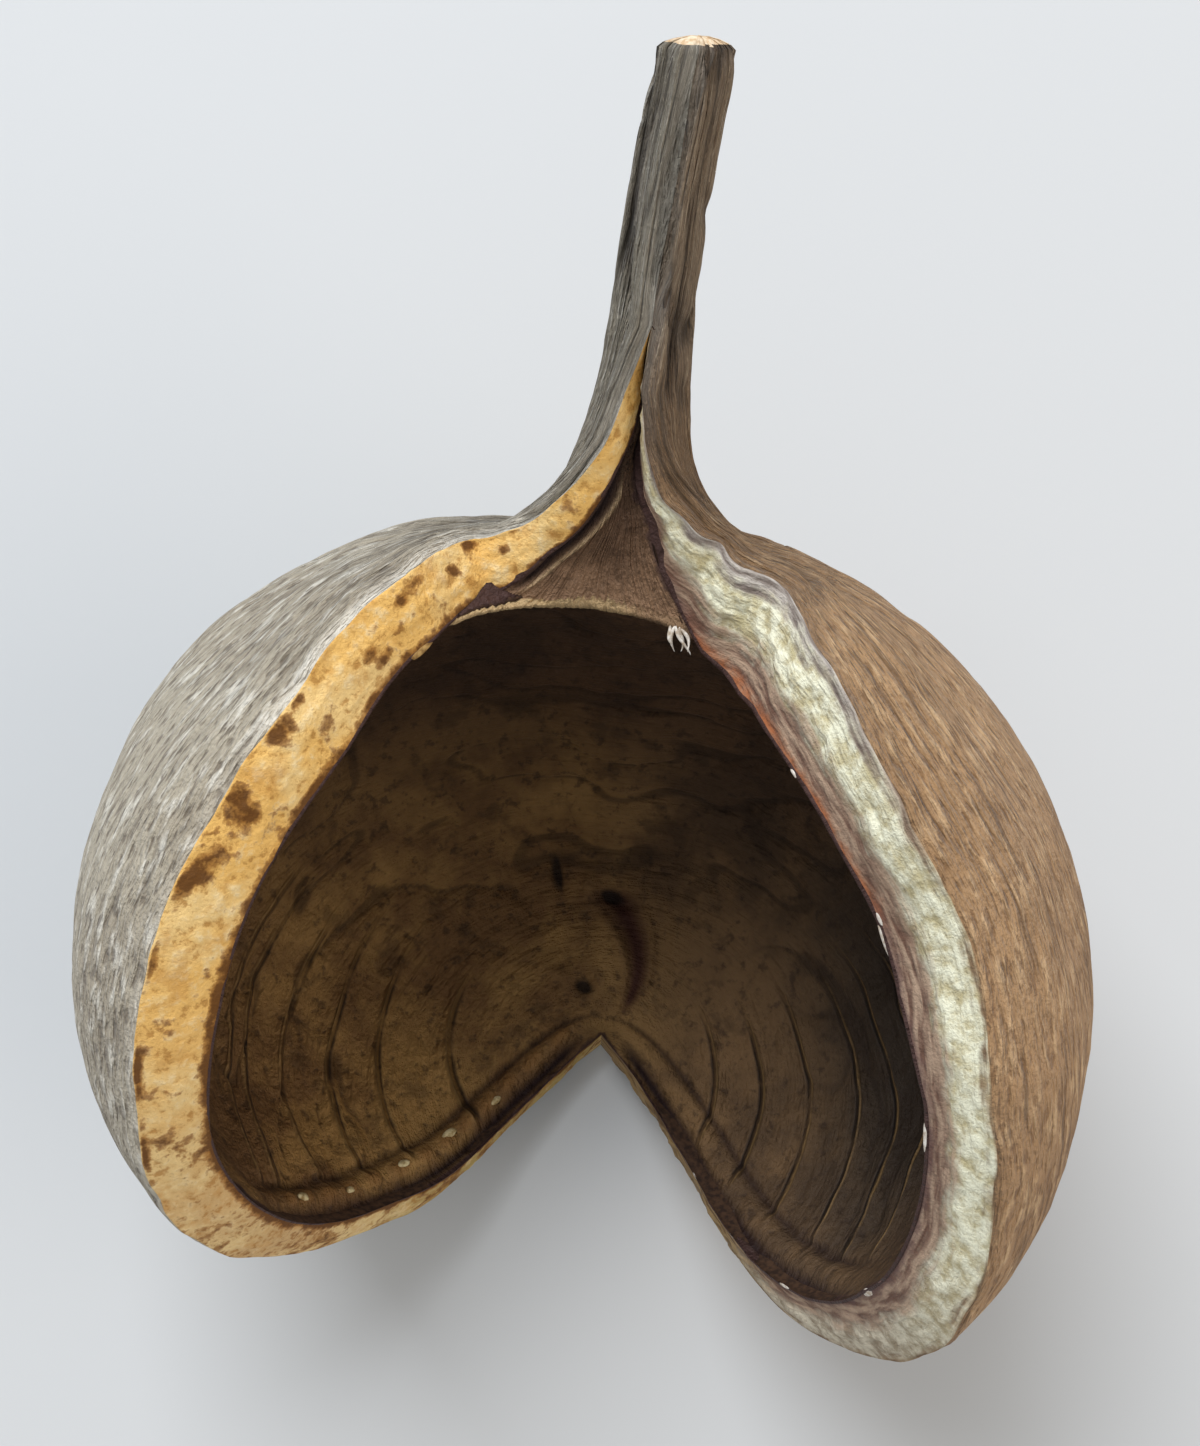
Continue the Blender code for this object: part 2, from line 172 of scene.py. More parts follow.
# The panel between the parted faces in the neck, and the lip where it ends.
LIP_AT = 0.0153
LIP_LEFT_LATER = 0.0087
LIP_LEFT_CURVE = 1.6
LIP_LENGTH = 0.0020
PANEL_SAG = 0.0020
PANEL_WIDTH = 0.030

# Lengthwise furrows of the dried skin: waves from the back to the rim, share, phase.
FLUTES = ((7, 1.0, 0.0), (11, 0.5, 1.1))
FLUTE_DEPTH = 0.0005
FLUTES_FADE = (-0.004, 0.030)
FURROWS = ((9, 1.0, 0.0), (13, 0.6, 0.7))
FURROW_DEPTH = 0.00035
FURROWS_GROW = (0.004, 0.030)
FURROWS_FADE = (0.060, 0.150)
FURROWS_LOST = 0.7
SWAY = 0.5
SWAY_LENGTH = 0.021

# The keel of the lining, down the back where the two lobes meet. It is strongest low down.
KEEL_HEIGHT = 0.0013
KEEL_WIDTH = 0.10
KEEL_GROWS = (0.42, 0.60)
LINING_RELIEF_ENDS = (0.86, 0.97)


# The camera and the light, fitted to the photo.
CAMERA_PLACE = (0.0006, -0.0127, 0.288)
CAMERA_PITCH = 7.7
LENS = 44.81
SENSOR = 36.0
FLOOR_SIZE = 12.0
LIGHT_AIM = (0.0, 0.0, 0.05)
WINDOW_PLACE = (-0.42, 1.05, 1.30)
WINDOW_SIZE = 1.05
WINDOW_POWER = 30.0
FILL_PLACE = (0.80, -0.20, 0.60)
FILL_SIZE = 0.80
FILL_POWER = 3.5
AIR_STRENGTH = 0.55

# How finely the looks divide the surface. The sections are closest round the lip.
SPLINE_STEPS = 24
CAD_BOWL_ROWS = 40
SKIN_STEPS = 196
FACE_STEPS = 27
HIDDEN_STEPS = 30
LINING_STEPS = 236
EDGE_STEPS = 8
CROWDING = 0.45
HIDDEN_CROWDING = 0.72
STALK_ROWS = 44
SPLIT_ROWS = 46
LIP_ROWS = 44
BOWL_ROWS = 200
LINING_FROM = -0.0060
MERGE_DISTANCE = 2e-6
CUT_END_RINGS = (0.30, 0.60, CUT_END_INSET)

# The lining is a thin shell. Its broken edge stands a little proud of the parted faces.
LINING_THICKNESS = 0.0028
HUSK_BEHIND_LINING = 0.0018
EDGE_WIDTH = {-1: 0.00018, 1: 0.00024}
EDGE_PROUD = {-1: 0.00014, 1: 0.00028}
EDGE_TORN_SIZE = 0.0042
EDGE_TORN_LEAST = 0.35
EDGE_SET_BACK = 0.6
EDGE_GROWS = 0.012
EDGE_ENDS = 0.010

# The hidden side keeps close to the lining beside the lip's ends and near the rims.
THIN_AT_LIP = 0.88
THIN_PAST_LIP = 0.001
THIN_LENGTH = 0.0035
THIN_LIP_SIDES = (0.45, 0.80)
THIN_AT_RIM = 0.65
THIN_RIM_SIDES = (0.90, 0.985)
HIDDEN_REACH = 0.33
HIDDEN_INSET = 3

SKIN_WIDTH = 0.100
LINING_WIDTH = 0.090
MM = 0.001


# The skin's furrows: width and length of the noise they follow, how wide the furrow
# is in it, depth, where it fades in and where it fades out, as lengths along the skin.
STALK_FURROWS = ((0.015, 0.030), 0.15, 0.00100, (-0.060, -0.050), (0.002, 0.024))
NECK_FURROWS = ((0.0055, 0.018), 0.20, 0.00034, (-0.060, -0.050), (0.030, 0.075))
RIM_FURROWS = ((0.0030, 0.013), 0.22, 0.00024, (0.006, 0.022), (0.060, 0.120))
RIM_FURROWS_REACH = 0.020
SPLIT_FURROW_DEPTH = 0.0011
SPLIT_FURROW_WIDTH = 0.0045
SPLIT_FURROW_FADE = 0.010
FURROW_WANDER = 0.0030
FURROW_WANDER_SIZE = 0.009
SKIN_SWELL = 0.00038
SKIN_SWELL_GROWS = (0.0, 0.020)
SKIN_SWELL_SIZE = 0.013
SKIN_NAP = 0.00010
SKIN_NAP_SIZE = 0.0022
RIM_ROUNDING = 0.00045
RIM_ROUNDING_WIDTH = 0.0008
RIM_WANDER = 0.00028
RIM_WANDER_SIZE = 0.0035
RIM_OPENS = 0.008
SKIN_FORM_ENDS = 0.006

# Beside the split's top the skin is calm, so that its two sides meet.
CALM_GROWS = (-0.022, -0.016)
CALM_FADES = (-0.006, 0.004)
CALM_WIDTH = 0.009
CALM = 0.92

# The seeds of the random forms, one for each.
STALK_SEED = 11
NECK_SEED = 12
RIM_SEED = 13
FURROW_WANDER_SEED = 5
SKIN_SWELL_SEED = 21
SKIN_NAP_SEED = 31
RIM_WANDER_SEED = 41
FACE_SWELL_SEED = 51
TEAR_SEED = {-1: 61, 1: 63}
BAND_SEED = 62
LINING_SWELL_SEED = 71
LINING_WARP_SEED = 72
CREASE_SEED = 73
PANEL_FIBRE_SEED = 74
RIB_WAVE_SEED = 75
LIP_SEED = 76
EDGE_SEED = {-1: 81, 1: 82}
SCAR_SEED = 90
MEMBRANE_SEED = 300
FLAKE_SEED = 340

# The parted faces: torn wood, coarser on the right, where a pale band stands up.
LEFT_TEAR = 0.00022
RIGHT_TEAR = 0.00034
TEAR_SIZE = (0.0010, 0.0016)
FACE_SWELL = 0.00040
FACE_SWELL_SIZE = 0.0060
PALE_BAND = 0.40
PALE_BAND_WIDTH = 0.30
PALE_BAND_HEIGHT = 0.00055
PALE_BAND_SUNK = 0.4
PALE_BAND_WANDER = 0.10
PALE_BAND_WANDER_SIZE = (0.02, 0.008)
LEFT_CROWN = 0.00035
FACE_FORM_WIDTHS = (0.0005, 0.006)
FACE_FORM_ENDS = 0.004

# Brown stains of the left parted face: length along the rim and share of the face's
# width, then how long in mm and how wide as a share.
STAINS = (
    (12.5, 0.05, 0.9, 0.12),
    (14.2, 0.30, 0.7, 0.10),
    (18.5, 0.08, 1.2, 0.10),
    (20.5, 0.62, 0.8, 0.10),
    (22.0, 0.36, 1.1, 0.12),
    (26.0, 0.16, 1.4, 0.09),
    (29.0, 0.25, 0.9, 0.08),
    (31.0, 0.55, 1.0, 0.10),
    (34.0, 0.66, 1.3, 0.10),
    (35.5, 0.48, 1.5, 0.10),
    (38.5, 0.93, 1.5, 0.07),
    (44.5, 0.06, 1.1, 0.10),
    (48.0, 0.14, 1.6, 0.14),
    (51.5, 0.95, 1.8, 0.08),
    (56.0, 0.14, 2.2, 0.20),
    (57.0, 0.38, 1.4, 0.14),
    (64.0, 0.22, 2.6, 0.20),
    (66.5, 0.10, 1.6, 0.12),
    (75.0, 0.06, 2.4, 0.10),
    (80.0, 0.90, 1.6, 0.08),
    (88.0, 0.04, 3.0, 0.08),
    (100.0, 0.05, 3.5, 0.08),
)

# The lining's relief: thin ribs that the stacked flat seeds left across each lobe, as
# lengths along the rim, how they lean and bend on their way to the keel, and creases.
LEFT_RIBS = (0.1295, 0.1335, 0.1420, 0.1510, 0.1610, 0.1750)
RIGHT_RIBS = (0.1380, 0.1455, 0.1533, 0.1635, 0.1735, 0.1830)
RIB_LEAN = {-1: 0.012, 1: -0.003}
RIB_BEND = 0.050
RIB_HEIGHT = 0.00080
RIB_WIDTH = 0.0013
RIBS_RISE = (0.34, 0.62)
RIBS_FALL = (0.90, 0.96)
CREASE = 0.00075
CREASE_SIZE = (0.0040, 0.0130)
CREASES_FADE = (0.150, 0.185)
CREASE_WIDTH = 0.15
CREASE_STRETCH = 0.55
CREASES_FROM_EDGE = (0.004, 0.014)
RIB_LEAN_FROM = 0.7
RIB_BEND_FROM = 0.45
RIB_WAVE = 0.0012
RIB_WAVE_SIZE = 0.014
BOWL_GROWS = 0.012
LINING_SWELL = 0.0010
LINING_SWELL_SIZE = 0.0110
LINING_WARP = 0.004
LINING_WARP_SIZE = 0.015

# Hollows and ridges in the middle, where the seeds were joined: length along the rim,
# share of the way to the left rim, height, and how long and how wide, as a length and a
# share.
MIDDLE_MARKS = (
    (0.1672, 0.010, -0.0011, 0.0024, 0.036),
    (0.1600, 0.120, -0.0010, 0.0055, 0.011),
    (0.1640, 0.050, 0.0009, 0.0040, 0.016),
    (0.1820, 0.060, 0.0010, 0.0110, 0.016),
    (0.1790, -0.055, 0.0008, 0.0130, 0.014),
    (0.1740, -0.115, 0.0006, 0.0100, 0.016),
    (0.1920, 0.330, -0.0010, 0.0026, 0.055),
    (0.1860, 0.380, 0.0009, 0.0030, 0.040),
    (0.1900, 0.200, 0.0008, 0.0040, 0.025),
)
MARKS_BEND_FROM = 0.166
MARKS_BEND = 7.0
SEED_STRIP_ENDS = (0.163, 0.168, 0.194, 0.202)
SEED_STRIP_WIDTH = 0.052

# Where the split starts in the stalk, its sides reach this share of the way to the middle.
SPLIT_DEEPENS = (-0.0115, -0.0065)
SPLIT_DEEPER = 0.35

# The strip of dark tissue between the left parted face and the panel, as distances
# from the lining's edge, with the thin pale line beside it.
STRIP_AT = 0.0009
STRIP_WIDTH = 0.0008
STRIP_DEPTH = 0.0006
PALE_LINE_AT = 0.0021
PALE_LINE_WIDTH = 0.00028
PALE_LINE_HEIGHT = 0.00030
STRIP_PAST_LIP = (0.0, 0.6)
STRIP_ENDS = (0.0125, 0.0175)

# The row of rounded swellings inside the lower margins, and the groove below them, in
# metres from the lining's edge. Lengths along the rim for the left and the right lobe.
BEAD_AT = 0.0044
BEAD_WIDTH = 0.0016
BEAD_HEIGHT = 0.0013
BEAD_PITCH = 0.0052
BEAD_WANDER = 3.0
BEAD_LOW = 0.25
RIGHT_BEADS = 0.3
GROOVE_AT = 0.0016
INNER_GROOVE_AT = 0.0070
GROOVE_WIDTH = 0.0012
GROOVE_DEPTH = 0.0008
INNER_GROOVE_SHARE = 0.7
INNER_GROOVE_WIDTH = 0.6 * GROOVE_WIDTH
LOWER_LEFT = (0.122, 0.136)
LOWER_RIGHT = (0.130, 0.146)
LOWER_ENDS = (0.198, 0.206)
LIP_CROWN = 0.00055
LIP_BAND = (0.0009, 0.0062)
LIP_RAGGED = 0.0007
LIP_RAGGED_SIZE = 0.0028
LIP_BAND_SOFT = 0.0005
LIP_BAND_ENDS = (0.45, 0.75)
LIP_BAND_RIGHT = (0.15, 0.55)
LIP_BAND_LOST = 0.85
PANEL_FIBRE = 0.00022
PANEL_FIBRE_SIZE = 0.0011
PANEL_FIBRE_STRETCH = 0.25
RELIEF_FROM_EDGE = 0.0008
RELIEF_GROWS = 0.006
RELIEF_ENDS = 0.008

# Small things on the pod, as lengths in mm along the rim, with a distance in mm from the
# lining's edge or a share of the parted face's width, then length, width and height in mm.
SEED_SCARS = (
    (138.5, 4.3, 2.4, 1.3, 0.8),
    (149.7, 3.8, 1.5, 0.9, 0.7),
    (161.0, 4.4, 1.8, 1.1, 0.8),
    (172.2, 4.8, 2.6, 1.3, 0.8),
    (182.5, 3.6, 1.9, 1.1, 0.7),
)
RIGHT_MEMBRANES = (
    (43.4, 0.99, 1.4, 0.5, 0.30),
    (62.6, 0.97, 1.6, 0.5, 0.30),
    (65.4, 1.00, 4.2, 0.7, 0.35),
    (89.4, 1.00, 4.4, 0.6, 0.35),
    (123.0, 0.97, 2.6, 1.2, 0.25),
    (150.0, 0.99, 2.2, 0.6, 0.25),
    (166.0, 0.98, 1.8, 0.5, 0.25),
    (178.0, 0.97, 2.0, 0.6, 0.25),
)
LEFT_FLAKES = ((29.6, 1.0, 3.4, 0.8, 0.30),)
TORN_FIBRES = (
    (0.016, -0.80, 0.25, -0.95, 0.30, 2.4),
    (0.016, -0.84, -0.10, -1.00, 0.20, 3.2),
    (0.016, -0.87, 0.35, -0.90, 0.35, 3.8),
    (0.016, -0.90, 0.05, -1.00, 0.15, 3.0),
    (0.016, -0.93, 0.50, -0.85, 0.25, 2.8),
)
FIBRE_WIDTH = 0.00024
FIBRE_ROOT = 1.3
FIBRE_TAPER = 0.8
FIBRE_CURL = 0.0007
FIBRE_TURN = 3.0
FIBRE_SIDEWAYS = 0.6
FIBRE_SUNK = 0.15
BIT_ROUGH = 0.22
BIT_ROUGH_SIZE = 0.9

# What the lining's material reads from its points.
LINING_VALUES = (
    "phase",
    "ridged",
    "lip",
    "band",
    "strip",
    "pale_line",
    "seed_strip",
    "pit",
    "groove",
    "bead",
    "crease",
    "broken",
    "edge",
    "along",
)

# Sockets of the nodes used most: a range's value and ends, a mix's share and colours,
# and a noise's place, scale, detail and roughness. In a chain: a mix's lower colour, its
# share and its upper colour, and a sum so far, a weight and what is added.
RANGE = (0, 1, 2, 3, 4)
MIX = (0, 6, 7)
NOISE = ("Vector", "Scale", "Detail", "Roughness")
LAYER = (6, 0, 7)
SUM = (2, 1, 0)
SOFT = {"interpolation_type": "SMOOTHSTEP"}
COLOURS = {"data_type": "RGBA"}
TIMES = {"operation": "MULTIPLY"}
ADDED = {"operation": "MULTIPLY_ADD"}
SHEEN_ROUGHNESS = 0.6

# The pale line of painted highlight on each rib and the dark line of painted shade beside it,
# as distances in mm from the rib and grey values, and the stretch of the rim, in mm, that the ribs lie
# in.
RIB_SPAN = (118.0, 196.0)
RIB_PROFILE = ((-0.45, 0.5), (-0.05, 1.0), (0.35, 0.5), (0.85, 0.0), (1.6, 0.5))
EVEN_GREY = (0.5, 0.5, 0.5, 1.0)


def pod_axes():
    """The pod's own axes as columns in world space."""
    rise = math.radians(STALK_RISE)
    lean = math.radians(-STALK_LEAN)
    tilt = np.array(
        [
            [1.0, 0.0, 0.0],
            [0.0, math.cos(rise), -math.sin(rise)],
            [0.0, math.sin(rise), math.cos(rise)],
        ]
    )
    turn = np.array(
        [
            [math.cos(lean), -math.sin(lean), 0.0],
            [math.sin(lean), math.cos(lean), 0.0],
            [0.0, 0.0, 1.0],
        ]
    )
    return turn @ tilt


def smooth(low, high, value):
    """0 below low, 1 above high, and an even curve between them."""
    t = np.clip((np.asarray(value, float) - low) / (high - low), 0.0, 1.0)
    return t * t * (3.0 - 2.0 * t)


def unit(vector):
    return vector / np.maximum(np.linalg.norm(vector, axis=-1, keepdims=True), 1e-12)


def hump(value, width):
    """1 where the value is 0, and falling away on both sides."""
    return np.exp(-((value / width) ** 2))


def table_at(table, value):
    return np.interp(value, *zip(*table))


def direction(from_stalk, round_back):
    """The unit direction at an angle from the stalk and an angle round from the back."""
    psi = np.radians(from_stalk)
    az = np.radians(round_back)
    across = np.sin(psi) * np.sin(az)
    along = np.cos(psi) * np.ones_like(az)
    out = -np.sin(psi) * np.cos(az)
    return np.stack([across, along, out], axis=-1)


def sphere_reach(rays, centre, radius):
    """How far a ray from the belly's centre goes to reach one valve's sphere."""
    c = np.array(centre)
    toward = rays @ c
    return toward + np.sqrt(toward**2 - c @ c + radius**2)


def reach(rays):
    """Distance from the belly's centre to the outside of the two valves."""
    left = sphere_reach(rays, LEFT_CENTRE, LEFT_RADIUS)
    right = sphere_reach(rays, RIGHT_CENTRE, RIGHT_RADIUS)
    share = smooth(-VALVE_BLEND, VALVE_BLEND, rays[..., 0] * SHOULDER_RADIUS)
    swollen = 0.0
    for psi, az, height, width in SWELLINGS:
        away = np.degrees(np.arccos(np.clip(rays @ direction(psi, np.float64(az)), -1.0, 1.0)))
        swollen = swollen + height * hump(away, width)
    return left + (right - left) * share + swollen


def flare_measures():
    """Where the flare's arc starts and ends, as lengths along the skin and heights."""
    root = STALK_RADIUS + STALK_ROOT_EXTRA
    side = root + FLARE_RADIUS
    height = math.sqrt((SHOULDER_RADIUS + FLARE_RADIUS) ** 2 - side**2)
    shoulder_angle = math.asin(side / (SHOULDER_RADIUS + FLARE_RADIUS))
    shoulder = SHOULDER_RADIUS * shoulder_angle
    root_at = shoulder - FLARE_RADIUS * (math.pi / 2 - shoulder_angle)
    return side, height, shoulder, root_at


def stalk_radius(height, flare_height):
    fade = np.exp(-np.maximum(height - flare_height, 0.0) / STALK_ROOT_FADE)
    return STALK_RADIUS + STALK_ROOT_EXTRA * fade


def profile(along):
    """Height up the stalk's axis and distance from it, for a length along the skin."""
    side, flare_height, shoulder, root_at = flare_measures()
    angle = along / SHOULDER_RADIUS
    turn = (along - root_at) / FLARE_RADIUS
    up = flare_height + root_at - along
    parts = [along >= shoulder, along >= root_at]
    heights = [SHOULDER_RADIUS * np.cos(angle), flare_height - FLARE_RADIUS * np.sin(turn)]
    radii = [SHOULDER_RADIUS * np.sin(angle), side - FLARE_RADIUS * np.cos(turn)]
    return np.select(parts, heights, up), np.select(parts, radii, stalk_radius(up, flare_height))


def tip_along():
    """The stalk's cut end, as a length along the skin."""
    _, flare_height, _, root_at = flare_measures()
    return root_at - (STALK_TIP - flare_height)


def neck_point(along, round_back):
    """Skin points of the stalk and the flare, and which way is out of the skin there."""
    _, _, shoulder, root_at = flare_measures()
    height, radius = profile(along)
    az = np.radians(round_back)
    spoke = np.stack([np.sin(az), np.zeros_like(az), -np.cos(az)], axis=-1)
    widened = smooth(*FLARE_LEFT_GROWS, along) * (1.0 - smooth(*FLARE_LEFT_ENDS, along))
    radius = radius + FLARE_LEFT_EXTRA * widened * np.maximum(0.0, -spoke[:, 0])
    nominal = spoke * radius[:, None]
    nominal[:, 1] = height
    rays = unit(nominal)
    belly = smooth(shoulder - FLARE_TO_VALVES, NECK_END - NECK_SLANT, along)
    point = nominal * (1.0 + belly * (reach(rays) / SHOULDER_RADIUS - 1.0))[:, None]
    bend = np.maximum(0.0, height - STALK_BEND_FROM) / (STALK_TIP - STALK_BEND_FROM)
    point[:, 0] += STALK_BEND * bend**2
    outward = unit(spoke + (rays - spoke) * smooth(root_at, shoulder, along)[:, None])
    return point, outward


def spline(points, count):
    """Points evenly spaced along a smooth curve through the given points."""
    p = np.array(points, float)
    p = np.vstack([2 * p[0] - p[1], p, 2 * p[-1] - p[-2]])
    steps = np.linspace(0.0, 1.0, SPLINE_STEPS, endpoint=False)[:, None]
    runs = []
    for a, b, c, d in zip(p, p[1:], p[2:], p[3:]):
        bend = 2 * a - 5 * b + 4 * c - d
        turn = 3 * b - a - 3 * c + d
        runs.append(0.5 * (2 * b + (c - a) * steps + bend * steps**2 + turn * steps**3))
    fine = np.vstack([*runs, p[-2][None]])
    length = np.concatenate([[0.0], np.cumsum(np.linalg.norm(np.diff(fine, axis=0), axis=1))])
    wanted = np.linspace(0.0, length[-1], count)
    return np.stack([np.interp(wanted, length, fine[:, k]) for k in range(3)], axis=1)


def rim_directions(start, rim, side):
    """Directions of one rim from the end of the neck to the notch."""
    table = [start, *rim, (NOTCH, 0.0)]
    chain = [direction(psi, side * np.float64(az)) for psi, az in table]
    return unit(spline(chain, BOWL_ROWS + 1))


def arc_through(left, middle, right, v):
    """Unit directions on the circle through three directions, for v from -1 to 1."""
    normal = unit(np.cross(middle - left, right - left))
    centre = normal * (normal @ left)
    first = unit(left - centre)
    second = np.cross(normal, first)

    def angle(ray):
        turn = math.atan2((ray - centre) @ second, (ray - centre) @ first)
        return turn % (2 * math.pi)

    radius = np.linalg.norm(left - centre)
    turns = np.interp(v, [-1.0, 0.0, 1.0], [0.0, angle(middle), angle(right)])
    ring = np.outer(np.cos(turns), first) + np.outer(np.sin(turns), second)
    return centre + radius * ring


def waves(table, v, sway):
    """A sum of cosine waves across the skin, swaying a little along it."""
    total = np.zeros_like(v)
    for count, share, phase in table:
        total += share * np.cos(math.pi * count * v + phase + sway * count / table[0][0])
    return total


def skin_waves(along, v):
    """Lengthwise furrows: strong flutes on the stalk that fade over the valves."""
    sway = SWAY * math.sin(along / SWAY_LENGTH)
    on_stalk = 1.0 - float(smooth(*FLUTES_FADE, along))
    on_valves = float(smooth(*FURROWS_GROW, along))
    on_valves *= 1.0 - FURROWS_LOST * float(smooth(*FURROWS_FADE, along))
    flutes = FLUTE_DEPTH * on_stalk * waves(FLUTES, v, sway)
    return flutes + FURROW_DEPTH * on_valves * waves(FURROWS, v, sway)


def neck_row(along, v):
    """One section of the split neck: skin, and the inner edges of the two parted faces."""
    slant = NECK_SLANT * float(smooth(0.0, NECK_END, along))
    skin_along = along - slant * np.maximum(v, 0.0) ** 2
    left_az = table_at(LEFT_NECK, along)
    right_az = table_at(RIGHT_NECK, along - slant)
    round_back = np.where(v < 0.0, left_az * v, right_az * v)
    skin, outward = neck_point(skin_along, round_back)
    wall = np.array([table_at(LEFT_WALL, along), table_at(RIGHT_WALL, along - slant)])
    ends = skin[[0, -1]] - outward[[0, -1]] * wall[:, None]
    middle = ends.mean(axis=0)
    apart = SPLIT_SHUT_GAP + (1.0 - SPLIT_SHUT_GAP) * float(smooth(*SPLIT_OPENS, along))
    ends = middle + (ends - middle) * apart
    return skin + outward * skin_waves(along, v)[:, None], ends[0], ends[1]


def panel(left, right, v):
    """The fibrous panel between the parted faces, hollowed a little in the middle."""
    chord = (left + right) / 2 - np.outer(v, (right - left) / 2)
    chord[:, 2] -= PANEL_SAG * np.linalg.norm(right - left) / PANEL_WIDTH * (1.0 - v**2)
    return chord


def keel_relief(v, down):
    """How far the keel down the middle of the lining stands up."""
    ends = 1.0 - float(smooth(*LINING_RELIEF_ENDS, down))
    return ends * KEEL_HEIGHT * float(smooth(*KEEL_GROWS, down)) * hump(v, KEEL_WIDTH)


def lining(left, middle, right, down, v):
    """The cavity's inner surface across the pod, from the right rim to the left one."""
    arc = arc_through(unit(right), unit(middle), unit(left), v)
    depths = [float(reach(unit(p)) - np.linalg.norm(p)) for p in (right, middle, left)]
    edge = np.where(v < 0.0, depths[0], depths[2])
    depth = depths[1] + (edge - depths[1]) * np.abs(v) ** EDGE_WALL_CURVE
    return arc * (reach(arc) - depth - keel_relief(v, down))[:, None]


def past_lip(along, v):
    """0 on the panel, 1 behind its lip, which comes later on the left."""
    lip_along = LIP_AT + LIP_LEFT_LATER * np.maximum(v, 0.0) ** LIP_LEFT_CURVE
    return np.clip((along - lip_along) / LIP_LENGTH, 0.0, 1.0)


def neck_inner(left, right, along, v):
    """The inside of one section of the neck. Past the panel's lip, which comes later on
    the left, the surface turns under into the cavity and back to the ceiling."""
    top = panel(left, right, v)
    if along <= LIP_AT:
        return top
    _, lip_left, lip_right = neck_row(LIP_AT, v)
    lip = panel(lip_left, lip_right, np.zeros(1))[0]
    ray = direction(CEILING_FROM, np.float64(0.0))
    ceiling = ray * (reach(ray) - table_at(BACK_WALL, 0.0))
    middle = lip + (ceiling - lip) * (along - LIP_AT) / (NECK_END - LIP_AT)
    under = lining(left, middle, right, 0.0, v)
    return top + (under - top) * past_lip(along, v)[:, None]


def neck_sections(lengths, skin_v, lining_v):
    """Skin and lining rows of the neck at these lengths along the skin."""
    skins = []
    linings = []
    for along in lengths:
        skin, left, right = neck_row(along, skin_v)
        skins.append(skin)
        linings.append(neck_inner(left, right, along, lining_v))
    return skins, linings


def bowl_sections(skin_v, lining_v):
    """Skin and lining rows of the two valves from the end of the neck to the notch."""
    start = math.degrees(NECK_END / SHOULDER_RADIUS)
    slanted = NECK_END - NECK_SLANT
    right_start = (math.degrees(slanted / SHOULDER_RADIUS), table_at(RIGHT_NECK, slanted))
    lefts = rim_directions((start, LEFT_NECK[-1][1]), LEFT_RIM, -1.0)
    rights = rim_directions(right_start, RIGHT_RIM, 1.0)
    skins = []
    linings = []
    for k in range(BOWL_ROWS // CAD_BOWL_ROWS, BOWL_ROWS):
        t = k / BOWL_ROWS
        back = direction(start + (NOTCH - start) * t, np.float64(0.0))
        rays = arc_through(lefts[k], back, rights[k], skin_v)
        along = NECK_END + t * RIM_RUN
        skins.append(rays * (reach(rays) + skin_waves(along, skin_v))[:, None])
        left = lefts[k] * (reach(lefts[k]) - table_at(LEFT_WALL, along))
        right = rights[k] * (reach(rights[k]) - table_at(RIGHT_WALL, along))
        down = max(0.0, (t * CAD_BOWL_ROWS - 1.0) / (CAD_BOWL_ROWS - 1))
        ray = direction(CEILING_FROM + (NOTCH - CEILING_FROM) * down, np.float64(0.0))
        middle = ray * (reach(ray) - table_at(BACK_WALL, down))
        linings.append(lining(left, middle, right, down, lining_v))
    return skins, linings


def joined(above, below):
    """Rows between the neck and the valves, evenly from one to the other."""
    steps = BOWL_ROWS // CAD_BOWL_ROWS
    between = [above[-1] + (below[0] - above[-1]) * k / steps for k in range(1, steps)]
    return [*above, *between, *below]


def stalk_sections(lengths, skin_v):
    """Rings of the round stalk, with the same number of points as a section of skin."""
    rings = []
    for along in lengths:
        skin, outward = neck_point(np.full(len(skin_v), along), skin_v * 180.0)
        rings.append(skin + outward * skin_waves(along, skin_v)[:, None])
    return rings


def spread(steps, crowding):
    """Steps from -1 to 1 that crowd towards both ends."""
    s = np.linspace(-1.0, 1.0, steps + 1)
    return s + crowding * np.sin(math.pi * s) / math.pi


def bowl_lengths():
    return NECK_END + np.arange(1, BOWL_ROWS) / BOWL_ROWS * RIM_RUN


def to_world(points):
    return np.asarray(points) @ pod_axes().T + np.array(BELLY_CENTRE)


def rested(points):
    """Nothing of the back goes below the flat spot."""
    points = to_world(points)
    points[..., 2] = np.maximum(points[..., 2], 0.0)
    return points


def lattice_noise(points, cell, seed):
    """Smooth noise from -1 to 1 with one seeded value at each corner of a grid."""
    values = np.random.default_rng(seed).uniform(-1.0, 1.0, 8192)
    scaled = np.asarray(points, float) / np.asarray(cell, float)
    base = np.floor(scaled).astype(np.int64)
    part = scaled - base
    part = part * part * (3.0 - 2.0 * part)
    total = np.zeros(scaled.shape[:-1])
    size = scaled.shape[-1]
    for corner in itertools.product((0, 1), repeat=size):
        key = np.zeros(scaled.shape[:-1], np.int64)
        weight = np.ones(scaled.shape[:-1])
        for k, prime in zip(range(size), (73856093, 19349663, 83492791)):
            key ^= (base[..., k] + corner[k]) * prime
            weight *= part[..., k] if corner[k] else 1.0 - part[..., k]
        total += weight * values[key % len(values)]
    return total


def rough(points, cell, seed, octaves=3):
    """Noise with finer and weaker noise added to it."""
    total = 0.0
    for k in range(octaves):
        total = total + lattice_noise(points, np.asarray(cell) / 2**k, seed + k) / 2**k
    return total / (2.0 - 0.5 ** (octaves - 1))


def grid_normals(grid):
    """Unit normals of a grid of points, from its rows and its columns."""
    down = np.gradient(grid, axis=0)
    across = np.gradient(grid, axis=1)
    return unit(np.cross(across, down))


